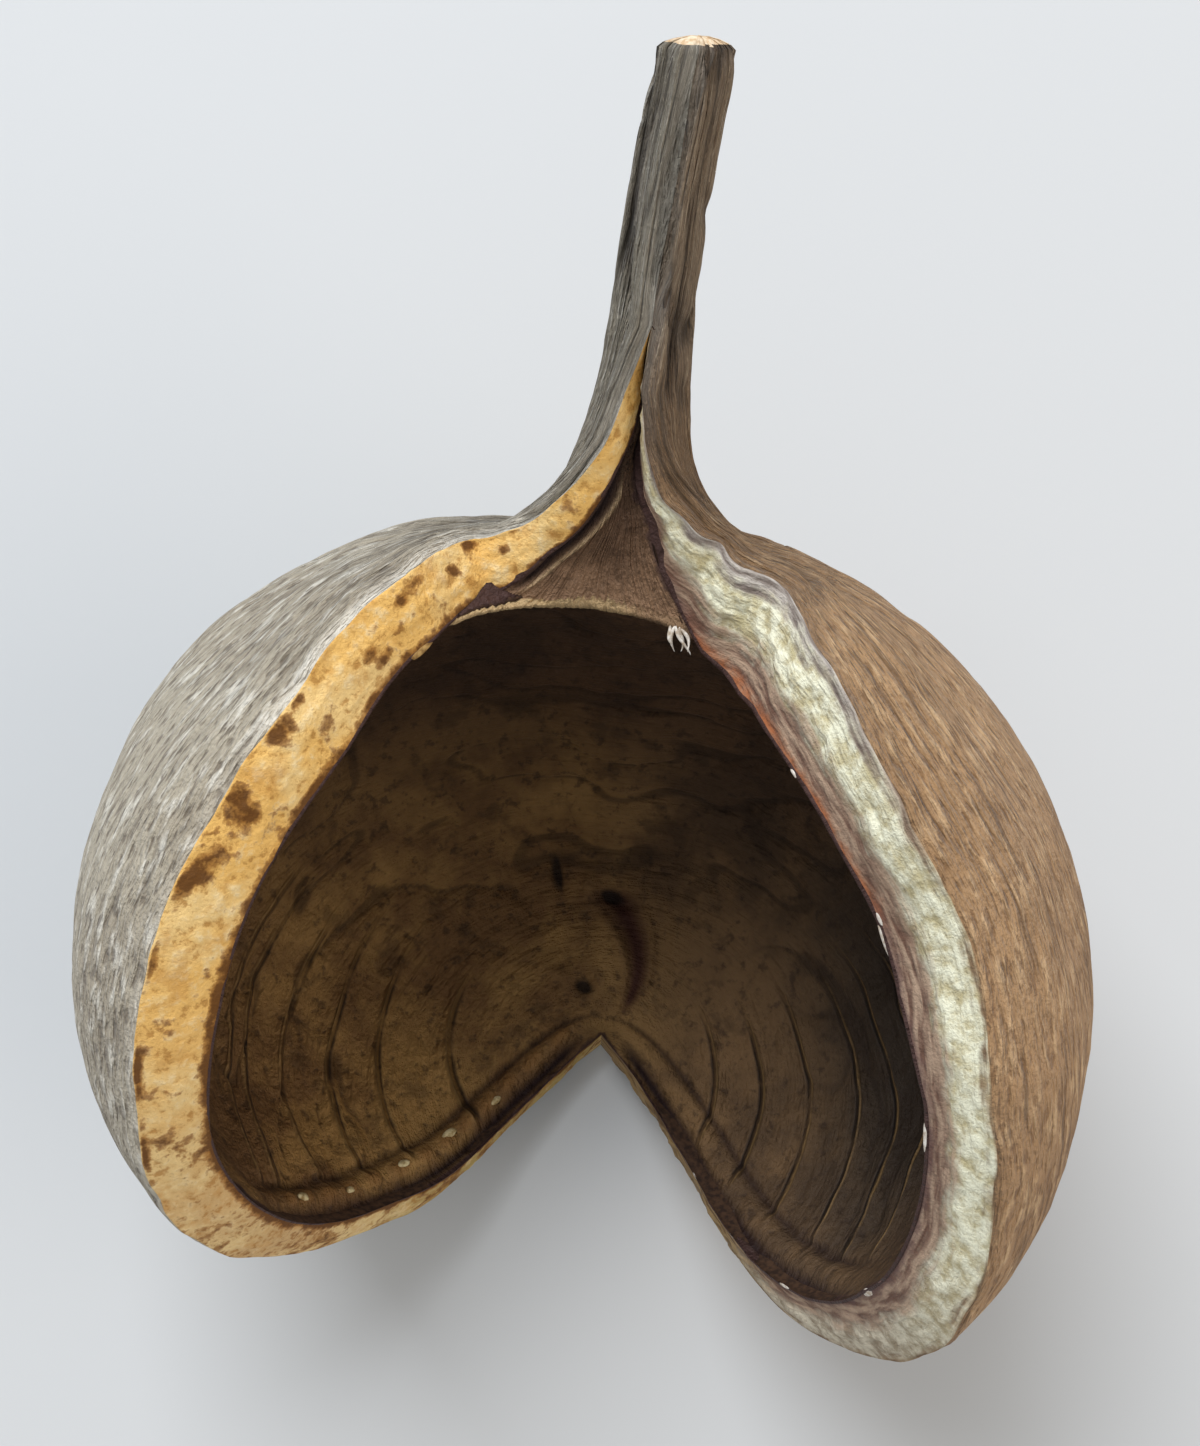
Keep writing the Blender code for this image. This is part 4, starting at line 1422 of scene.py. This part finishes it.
def build_fibres(surface):
    """Torn fibres that hang from the right end of the panel's lip."""
    lengths, form, _, _ = surface
    bits = []
    for k, (along, v, *way, length) in enumerate(TORN_FIBRES):
        row = int(np.abs(lengths - along).argmin())
        col = int(round((v + 1.0) / 2.0 * (form.shape[1] - 1)))
        bits.append(add_fibre(form[row, col], way, length * MM, k))
    return as_one("torn_fibres", bits)


def linear(colour):
    """An sRGB hex colour as linear red, green and blue."""
    parts = [int(colour[k : k + 2], 16) / 255.0 for k in (1, 3, 5)]
    return [p / 12.92 if p <= 0.04045 else ((p + 0.055) / 1.055) ** 2.4 for p in parts] + [1.0]


def per_metre(size):
    """The scale of a texture whose pattern has this size in millimetres."""
    return 1.0 / (size * MM)


def add_node(tree, kind, inputs=None, out=0, **settings):
    """Adds a node with its settings and gives one of its outputs. An input is a value, a
    hex colour or an output to link from."""
    node = tree.nodes.new("ShaderNode" + kind)
    for name, value in settings.items():
        setattr(node, name, value)
    for key, value in (inputs or {}).items():
        if isinstance(value, bpy.types.NodeSocket):
            tree.links.new(value, node.inputs[key])
        else:
            plain = linear(value) if isinstance(value, str) else value
            node.inputs[key].default_value = plain
    return node.outputs[out]


def add_row(tree, kind, sockets, rows, out=0, **settings):
    """Adds a node for every row of inputs, and gives their outputs."""
    return [add_node(tree, kind, dict(zip(sockets, row)), out, **settings) for row in rows]


def add_chain(tree, kind, value, sockets, rows, out=0, **settings):
    """Adds a node for every row of inputs, each fed by the output of the one before it, and
    gives the last output."""
    for row in rows:
        value = add_node(tree, kind, dict(zip(sockets, (value, *row))), out, **settings)
    return value


def new_material(name, roughness, sheen, specular):
    material = bpy.data.materials.new(name)
    material.use_nodes = True
    shader = material.node_tree.nodes["Principled BSDF"]
    shader.inputs["Roughness"].default_value = roughness
    shader.inputs["Specular IOR Level"].default_value = specular
    shader.inputs["Sheen Weight"].default_value = sheen
    shader.inputs["Sheen Roughness"].default_value = SHEEN_ROUGHNESS
    return material, material.node_tree, shader


def velvety_skin():
    """Dry velvety fruit skin. To the eye it is matt, grey and made of short fine strokes
    along the rim on the left, brown with longer streaks on the right, with painted shade in
    the furrows. The grey left and the brown right are partly its own colour and partly
    painted light, lighter on the left and darker on the right."""
    material, tree, shader = new_material("velvety_fruit_skin", 0.94, 0.10, 0.12)
    grain = add_node(tree, "UVMap", uv_map="grain")
    place = add_node(tree, "TexCoord", out="Object")
    side = add_node(tree, "SeparateXYZ", {0: grain})
    furrow_shade, edge, along = [
        add_node(tree, "Attribute", out="Fac", attribute_name=name)
        for name in ("furrow_shade", "edge", "along")
    ]
    bends = {"Vector": place, "Scale": per_metre(11.11), "Detail": 2.0}
    wander = add_node(tree, "TexNoise", bends, "Color")
    ways = []
    for stretch in (0.24, 0.07):
        way = add_node(tree, "Mapping", {"Vector": grain, "Scale": (1.0, stretch, 1.0)})
        moved = {0: wander, 1: (0.0016, 0.0, 0.0), 2: way}
        ways.append(add_node(tree, "VectorMath", moved, operation="MULTIPLY_ADD"))
    short_way, long_way = ways
    strokes, tufts, streaks, patches, nap = add_row(
        tree,
        "TexNoise",
        NOISE,
        (
            (short_way, per_metre(0.6667), 2.0, 0.6),
            (short_way, per_metre(1.389), 3.0, 0.6),
            (long_way, per_metre(1.111), 3.0, 0.6),
            (place, per_metre(26.32), 4.0, 0.5),
            (place, per_metre(0.4348), 2.0, 0.5),
        ),
    )
    right, on_stalk, on_valves, at_rim, high_up, *shares = add_row(
        tree,
        "MapRange",
        RANGE,
        (
            (side, -0.030, 0.030, 0.0, 1.0),
            (along, 4.0, -18.0, 1.0, 0.62),
            (along, 6.0, 45.0, 1.0, 0.25),
            (edge, 1.7, 0.4, 0.0, 0.9),
            (along, 55.0, 40.0, 0.25, 1.0),
            (patches, 0.44, 0.68, 0.0, 0.55),
            (tufts, 0.50, 0.66, 0.0, 0.70),
            (streaks, 0.48, 0.34, 0.0, 0.62),
            (strokes, 0.48, 0.35, 0.0, 0.75),
        ),
        **SOFT,
    )
    # Grey on the left and brown on the right: partly the skin's own colour and partly painted light,
    # lighter on the left and darker on the right.
    right = add_node(tree, "Math", {0: right, 1: on_stalk}, **TIMES)
    ground, patchy, pale, dark, gap, at_rim_colour = add_row(
        tree,
        "Mix",
        MIX,
        (
            (right, "#b3a995", "#a5835e"),
            (right, "#968974", "#7f6040"),
            (right, "#e6e1d3", "#cfae85"),
            (right, "#7a6f5f", "#4f3824"),
            (right, "#685c4d", "#775839"),
            (right, "#efe9da", "#8f7152"),
        ),
        2,
        **COLOURS,
    )
    strokes_show = {0: strokes, 1: 1.5, 2: -0.05}
    broken = add_node(tree, "Math", strokes_show, operation="MULTIPLY_ADD")
    # Painted shade: the skin is darkened where it lies deep in a furrow, most on the stalk and the
    # neck.
    furrow = add_node(
        tree,
        "Math",
        {0: add_node(tree, "Math", {0: furrow_shade, 1: on_valves}, **TIMES), 1: broken},
        **TIMES,
        use_clamp=True,
    )
    rim_share = add_node(
        tree,
        "Math",
        {0: add_node(tree, "Math", {0: at_rim, 1: high_up}, **TIMES), 1: broken},
        **TIMES,
    )
    layers = (
        *zip(shares, (patchy, pale, dark, gap)), (furrow, "#33261c"), (rim_share, at_rim_colour)
    )
    relief = add_chain(
        tree, "Math", strokes, SUM, ((0.30, nap), (1.3, tufts), (1.0, streaks)), **ADDED
    )
    bump = add_node(tree, "Bump", {"Strength": 1.0, "Distance": 0.0011, "Height": relief})
    tree.links.new(
        add_chain(tree, "Mix", ground, LAYER, layers, 2, **COLOURS), shader.inputs["Base Color"]
    )
    tree.links.new(bump, shader.inputs["Normal"])
    return material


def golden_face():
    """Bare parted husk of the left valve. To the eye it is a golden and cream, corky cut
    with frayed brown stains, more finely mottled low down and along its inner edge."""
    material, tree, shader = new_material("golden_parted_husk", 0.88, 0.0, 0.2)
    place = add_node(tree, "TexCoord", out="Object")
    across, along, named = [
        add_node(tree, "Attribute", out="Fac", attribute_name=name)
        for name in ("across_face", "along", "stain")
    ]
    sizes = (14.29, 5.263, 1.786, 0.4762)
    noises = [(place, per_metre(size), 4.0, 0.65) for size in sizes]
    cloud, blotch, mottle, grit = add_row(tree, "TexNoise", NOISE, noises)
    low, under, inner, cream, pale, tan, brown = add_row(
        tree,
        "MapRange",
        RANGE,
        (
            (along, 70.0, 125.0, 0.0, 1.0),
            (along, 140.0, 175.0, 0.0, 0.8),
            (across, 0.78, 1.0, 0.0, 0.34),
            (cloud, 0.46, 0.62, 0.0, 0.55),
            (mottle, 0.50, 0.70, 0.0, 0.65),
            (blotch, 0.47, 0.34, 0.0, 0.45),
            (mottle, 0.46, 0.33, 0.0, 0.70),
        ),
        **SOFT,
    )
    seeped = add_chain(
        tree,
        "Math",
        blotch,
        SUM,
        ((0.36, named), (0.75, mottle), (0.11, low), (1.0, inner)),
        **ADDED,
    )
    stains = ((seeped, 0.98, 1.10, 0.0, 0.75), (seeped, 1.06, 1.24, 0.0, 0.85))
    stain_rim, stain_heart = add_row(tree, "MapRange", RANGE, stains, **SOFT)
    layers = (
        (low, "#d3b07c"),
        (under, "#b09a58"),
        (cream, "#f7dc9f"),
        (pale, "#fbe5b4"),
        (tan, "#c48a3f"),
        (brown, "#b07c3c"),
        (stain_rim, "#9a6428"),
        (stain_heart, "#5d3716"),
    )
    relief = add_chain(tree, "Math", mottle, SUM, ((0.4, grit),), **ADDED)
    bump = add_node(tree, "Bump", {"Strength": 0.8, "Distance": 0.0006, "Height": relief})
    tree.links.new(
        add_chain(tree, "Mix", "#f2c270", LAYER, layers, 2, **COLOURS), shader.inputs["Base Color"]
    )
    tree.links.new(bump, shader.inputs["Normal"])
    return material


def fibrous_face():
    """Bare parted husk of the right valve. To the eye it has soft bands along the rim:
    lilac grey fibre high up, rough pale pith, and pinkish brown fibre inside it."""
    material, tree, shader = new_material("fibrous_parted_husk", 0.9, 0.05, 0.15)
    place = add_node(tree, "TexCoord", out="Object")
    grain = add_node(tree, "UVMap", uv_map="grain")
    across, along = [
        add_node(tree, "Attribute", out="Fac", attribute_name=name)
        for name in ("across_face", "along")
    ]
    long_way = add_node(tree, "Mapping", {"Vector": grain, "Scale": (1.0, 0.16, 1.0)})
    fibres, slow, mottle, grit = add_row(
        tree,
        "TexNoise",
        NOISE,
        (
            (long_way, per_metre(1.0), 4.0, 0.5),
            (place, per_metre(10.53), 4.0, 0.65),
            (place, per_metre(2.326), 4.0, 0.65),
            (place, per_metre(0.5263), 4.0, 0.65),
        ),
    )
    wander = add_chain(tree, "Math", across, SUM, ((0.60, slow), (0.42, fibres)), **ADDED)
    wander = add_node(tree, "Math", {0: wander, 1: 0.50}, operation="SUBTRACT")
    at_edge = add_chain(tree, "Math", across, SUM, ((0.30, mottle),), **ADDED)
    high_up, low, begins, ends, under, out_of_pith, fibre_share, pith_share, glow_share = add_row(
        tree,
        "MapRange",
        RANGE,
        (
            (along, 66.0, 36.0, 0.0, 1.0),
            (along, 92.0, 135.0, 0.0, 1.0),
            (along, 13.0, 20.0, 0.0, 1.0),
            (along, 66.0, 58.0, 0.0, 1.0),
            (along, 150.0, 172.0, 0.0, 0.85),
            (wander, 0.42, 0.74, 0.0, 1.0),
            (fibres, 0.36, 0.64, 0.0, 1.0),
            (mottle, 0.34, 0.62, 0.0, 1.0),
            (at_edge, 0.98, 1.16, 0.0, 0.85),
        ),
        **SOFT,
    )
    outer = add_chain(tree, "Math", wander, SUM, ((-0.10, high_up),), **ADDED)
    into_pith = add_node(tree, "MapRange", dict(zip(RANGE, (outer, -0.04, 0.16, 0.0, 1.0))), **SOFT)
    glow = add_node(tree, "Math", {0: begins, 1: ends}, **TIMES)
    grey, tan, pith, frost, pink, brown, edge_colour = add_row(
        tree,
        "Mix",
        MIX,
        (
            (fibre_share, "#8a7d74", "#cfc6bb"),
            (fibre_share, "#7d6247", "#b09572"),
            (pith_share, "#c6ba90", "#f6f4d8"),
            (pith_share, "#9c8b74", "#d9ceb6"),
            (fibre_share, "#6f5142", "#b59a82"),
            (fibre_share, "#6b4f2c", "#a88a56"),
            (glow, "#6a4f4a", "#b0683c"),
        ),
        2,
        **COLOURS,
    )
    outside = add_chain(tree, "Mix", tan, LAYER, ((high_up, grey),), 2, **COLOURS)
    middle = add_chain(tree, "Mix", pith, LAYER, ((low, frost),), 2, **COLOURS)
    layers = ((into_pith, middle), (out_of_pith, pink), (under, brown), (glow_share, edge_colour))
    relief = add_chain(tree, "Math", mottle, SUM, ((0.35, grit), (1.1, fibres)), **ADDED)
    bump = add_node(tree, "Bump", {"Strength": 0.9, "Distance": 0.0007, "Height": relief})
    tree.links.new(
        add_chain(tree, "Mix", outside, LAYER, layers, 2, **COLOURS), shader.inputs["Base Color"]
    )
    tree.links.new(bump, shader.inputs["Normal"])
    return material


def cut_wood():
    """Sawn end of the stalk. To the eye it is pale, dry wood."""
    material, tree, shader = new_material("sawn_stalk_wood", 0.8, 0.0, 0.25)
    place = add_node(tree, "TexCoord", out="Object")
    pores = add_node(tree, "TexNoise", {"Vector": place, "Scale": per_metre(0.625), "Detail": 3.0})
    share = add_node(tree, "MapRange", {0: pores, 1: 0.35, 2: 0.65})
    bump = add_node(tree, "Bump", {"Strength": 0.5, "Distance": 0.0003, "Height": pores})
    tree.links.new(
        add_chain(tree, "Mix", "#c9a982", LAYER, ((share, "#ead9bd"),), 2, **COLOURS),
        shader.inputs["Base Color"],
    )
    tree.links.new(bump, shader.inputs["Normal"])
    return material


def rib_lines(tree, phase, places):
    """A thin pale line of painted highlight on each rib and a dark line of painted shade in the crease
    beside it, around an even 0.5.
    """
    first, last = RIB_SPAN
    share = add_node(tree, "MapRange", {0: phase, 1: first, 2: last})
    lines = add_node(tree, "ValToRGB", {0: share})
    stops = lines.node.color_ramp.elements
    wanted = [(0.0, 0.5)]
    for place in places:
        for offset, value in RIB_PROFILE:
            wanted.append(((place / MM + offset - first) / (last - first), value))
    while len(stops) < len(wanted):
        stops.new(1.0)
    for stop, (position, value) in zip(stops, wanted):
        stop.position = position
        stop.color = (value, value, value, 1.0)
    return lines


def dark_lining():
    """Woody lining of the cavity. To the eye it is dark brown and dull, darkest high up, partly
    from painted shade, with thin ribs and creases, a brown panel and a pale torn lip under the
    stalk. The ribs carry a painted highlight with painted shade beside them, and the creases
    and the hollows in the middle are darkened with painted shade."""
    material, tree, shader = new_material("woody_cavity_lining", 0.66, 0.0, 0.3)
    place = add_node(tree, "TexCoord", out="Object")
    grain = add_node(tree, "UVMap", uv_map="grain")
    phase, ridged, lip, band, strip, pale_line, seed_strip = [
        add_node(tree, "Attribute", out="Fac", attribute_name=name) for name in LINING_VALUES[:7]
    ]
    pit, groove, bead, crease, broken, edge, along = [
        add_node(tree, "Attribute", out="Fac", attribute_name=name) for name in LINING_VALUES[7:]
    ]
    across_grain = add_node(tree, "Mapping", {"Vector": grain, "Scale": (0.22, 1.0, 1.0)})
    sizes = (18.18, 5.882, 1.923, 0.5556)
    noises = [(place, per_metre(size), 4.0, 0.62) for size in sizes]
    noises.append((across_grain, per_metre(2.174), 4.0, 0.6))
    patches, blotch, fine, grit, wrinkles = add_row(tree, "TexNoise", NOISE, noises)
    side = add_node(tree, "SeparateXYZ", {0: place})
    on_right = add_node(tree, "SeparateXYZ", {0: grain})
    on_right = add_node(tree, "Math", {0: on_right, 1: 0.0}, operation="LESS_THAN")
    line = add_chain(
        tree,
        "Mix",
        rib_lines(tree, phase, LEFT_RIBS),
        LAYER,
        ((on_right, rib_lines(tree, phase, RIGHT_RIBS)),),
        2,
        **COLOURS,
    )
    # The first share says, in patches, where the ribs' painted highlight and painted shade show.
    patchy, on_panel, off_lip = add_row(
        tree,
        "MapRange",
        RANGE,
        (
            (blotch, 0.36, 0.56, 0.35, 1.0),
            (along, 25.5, 24.0, 0.0, 1.0),
            (lip, 0.30, 0.05, 0.0, 1.0),
        ),
    )
    line = add_chain(
        tree,
        "Mix",
        EVEN_GREY,
        LAYER,
        ((add_node(tree, "Math", {0: ridged, 1: patchy}, **TIMES), line),),
        2,
        **COLOURS,
    )
    panel_share = add_node(tree, "Math", {0: on_panel, 1: off_lip}, **TIMES)
    torn_edge = add_chain(tree, "Math", edge, SUM, ((-3.0, fine),), **ADDED)
    right, far_right, lobes, patch_share, begins, ends, near_edge, *marks = add_row(
        tree,
        "MapRange",
        RANGE,
        (
            (side, -0.010, 0.020, 0.0, 1.0),
            (side, 0.020, 0.046, 0.0, 1.0),
            (along, 95.0, 150.0, 0.0, 1.0),
            (patches, 0.38, 0.62, 0.0, 1.0),
            (along, 15.0, 22.0, 0.0, 1.0),
            (along, 58.0, 44.0, 0.0, 1.0),
            (torn_edge, -0.75, -1.45, 0.0, 0.85),
            (blotch, 0.46, 0.34, 0.0, 0.40),
            (fine, 0.46, 0.32, 0.0, 0.55),
            (crease, 0.50, 0.95, 0.0, 0.50),
            (line, 0.52, 0.95, 0.0, 0.70),
            (line, 0.48, 0.05, 0.0, 0.80),
            (pit, -0.20, -0.90, 0.0, 0.55),
            (pit, 0.15, 0.75, 0.0, 0.90),
            (bead, 0.35, 0.95, 0.0, 0.80),
        ),
        **SOFT,
    )
    dark_blotch, dark_fleck, crease_painted_shade, rib_painted_highlight, rib_painted_shade, pit_pale, pit_painted_shade, bead_share = marks
    edge_share = add_node(tree, "Math", {0: near_edge, 1: broken}, operation="MAXIMUM")
    frayed = add_node(tree, "Math", {0: fine, 1: 1.1, 2: 0.35}, operation="MULTIPLY_ADD")
    band_share = add_node(tree, "Math", {0: band, 1: frayed}, **TIMES, use_clamp=True)
    glow = add_node(
        tree,
        "Math",
        {0: add_node(tree, "Math", {0: begins, 1: ends}, **TIMES), 1: on_right},
        **TIMES,
    )
    top, left_lobe, right_lobe, fibre_panel, edge_colour = add_row(
        tree,
        "Mix",
        MIX,
        (
            (patch_share, "#4b3625", "#61462e"),
            (patch_share, "#83603a", "#b48b52"),
            (patch_share, "#5d4731", "#816342"),
            (patch_share, "#6b503b", "#947458"),
            (glow, "#46302b", "#6f422d"),
        ),
        2,
        **COLOURS,
    )
    darker = add_chain(tree, "Mix", right_lobe, LAYER, ((far_right, "#392f25"),), 2, **COLOURS)
    layers = (
        # The ceiling keeps the dark top colour and the lobes lower down get lighter ones: partly the
        # lining's own colour and partly painted shade high up in the cavity.
        (lobes, add_chain(tree, "Mix", left_lobe, LAYER, ((right, darker),), 2, **COLOURS)),
        (dark_blotch, "#38291c"),
        (dark_fleck, "#33241a"),
        # Painted shade darkens the creases.
        (crease_painted_shade, "#2a1d13"),
        # Painted highlight on the ribs and painted shade in the crease beside each.
        (rib_painted_highlight, "#a17f50"),
        (rib_painted_shade, "#20150d"),
        (seed_strip, "#46251b"),
        (pit_pale, "#8d6b43"),
        # Painted shade darkens the hollows in the middle, where the seeds were joined.
        (pit_painted_shade, "#1a100b"),
        (panel_share, fibre_panel),
        (strip, "#2c1a18"),
        (pale_line, "#b59a76"),
        (groove, "#220f0e"),
        (bead_share, "#8f6638"),
        (edge_share, edge_colour),
        (band_share, "#bfa377"),
    )
    relief = add_chain(
        tree, "Math", fine, SUM, ((1.4, wrinkles), (0.25, grit), (1.6, line)), **ADDED
    )
    bump = add_node(tree, "Bump", {"Strength": 0.9, "Distance": 0.0013, "Height": relief})
    tree.links.new(
        add_chain(tree, "Mix", top, LAYER, layers, 2, **COLOURS), shader.inputs["Base Color"]
    )
    tree.links.new(bump, shader.inputs["Normal"])
    return material


def dry_bits(name, first, last):
    """Dry scraps on the pod, mottled between two colours."""
    material, tree, shader = new_material(name, 0.85, 0.0, 0.25)
    place = add_node(tree, "TexCoord", out="Object")
    mottle = add_node(
        tree, "TexNoise", {"Vector": place, "Scale": per_metre(0.7692), "Detail": 3.0}
    )
    share = add_node(tree, "MapRange", {0: mottle, 1: 0.36, 2: 0.62})
    tree.links.new(
        add_chain(tree, "Mix", first, LAYER, ((share, last),), 2, **COLOURS),
        shader.inputs["Base Color"],
    )
    return material


def pale_sheet():
    """Smooth matt paper. To the eye it is plain and a little blue."""
    material, _, shader = new_material("matt_paper", 0.9, 0.0, 0.2)
    shader.inputs["Base Color"].default_value = linear("#c9cbcb")
    return material


def add_floor():
    bpy.ops.object.select_all(action="DESELECT")
    bpy.ops.mesh.primitive_plane_add(size=FLOOR_SIZE)
    floor = bpy.context.object
    floor.name = "floor"
    floor.data.materials.append(pale_sheet())


def add_light(name, place, aim, size, power, colour):
    light = bpy.data.lights.new(name, "AREA")
    light.size = size
    light.energy = power
    light.color = linear(colour)[:3]
    lamp = bpy.data.objects.new(name, light)
    lamp.location = place
    lamp.rotation_euler = (Vector(aim) - Vector(place)).to_track_quat("-Z", "Y").to_euler()
    bpy.context.scene.collection.objects.link(lamp)


def add_studio():
    """Soft light from the upper left, a weak warm one from the right, and pale air."""
    add_light("window", WINDOW_PLACE, LIGHT_AIM, WINDOW_SIZE, WINDOW_POWER, "#f4f8ff")
    add_light("fill", FILL_PLACE, LIGHT_AIM, FILL_SIZE, FILL_POWER, "#fff0e0")
    world = bpy.data.worlds.new("studio_air")
    world.use_nodes = True
    background = world.node_tree.nodes["Background"]
    background.inputs["Color"].default_value = linear("#eef0f3")
    background.inputs["Strength"].default_value = AIR_STRENGTH
    bpy.context.scene.world = world
    bpy.context.scene.view_settings.view_transform = "Standard"


def add_camera():
    camera = bpy.data.cameras.new("camera")
    camera.lens = LENS
    camera.sensor_width = SENSOR
    camera.clip_start = 0.01
    eye = bpy.data.objects.new("camera", camera)
    eye.location = CAMERA_PLACE
    eye.rotation_euler = (math.radians(CAMERA_PITCH), 0.0, 0.0)
    bpy.context.scene.collection.objects.link(eye)
    bpy.context.scene.camera = eye


def hand_over(piece, materials):
    """Gives a finished piece its materials and its place in the part."""
    for material in materials:
        piece.data.materials.append(material)
    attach(piece, "root")
    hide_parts("pod")


def build_pod():
    sections = pod_sections()
    husk, right, left = build_husk(sections)
    cavity, surface = build_lining(sections, right, left)
    # Dark brown to the eye, where it shows at all past the lining's edge.
    inner_husk = dry_bits("dark_inner_husk", "#2e1f16", "#4a3424")
    hand_over(husk, [velvety_skin(), fibrous_face(), golden_face(), cut_wood(), inner_husk])
    hand_over(cavity, [dark_lining()])
    # Cream wood to the eye, where a seed was fixed.
    scar_wood = dry_bits("pale_seed_scar_wood", "#9c8050", "#ddcc9e")
    # Brown and crumbly to the eye.
    husk_crumb = dry_bits("torn_husk_crumb", "#7a5a30", "#b8955c")
    # Whitish and papery to the eye, with a few tan threads.
    membrane = dry_bits("dry_papery_membrane", "#b7a691", "#efe9df")
    hand_over(build_scars(surface), [scar_wood])
    papery_bits = build_flakes("papery_bits", right, sections[0], RIGHT_MEMBRANES, MEMBRANE_SEED)
    hand_over(papery_bits, [membrane])
    husk_flakes = build_flakes("husk_flakes", left, sections[0], LEFT_FLAKES, FLAKE_SEED)
    hand_over(husk_flakes, [husk_crumb])
    hand_over(build_fibres(surface), [membrane])


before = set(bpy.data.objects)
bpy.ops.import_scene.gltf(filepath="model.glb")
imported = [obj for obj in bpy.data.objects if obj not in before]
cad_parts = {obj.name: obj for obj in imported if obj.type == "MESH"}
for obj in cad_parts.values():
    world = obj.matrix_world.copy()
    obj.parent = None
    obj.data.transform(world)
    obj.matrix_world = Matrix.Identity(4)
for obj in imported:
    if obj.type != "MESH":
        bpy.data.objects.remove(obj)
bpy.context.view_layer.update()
build_pod()
add_floor()
add_studio()
add_camera()
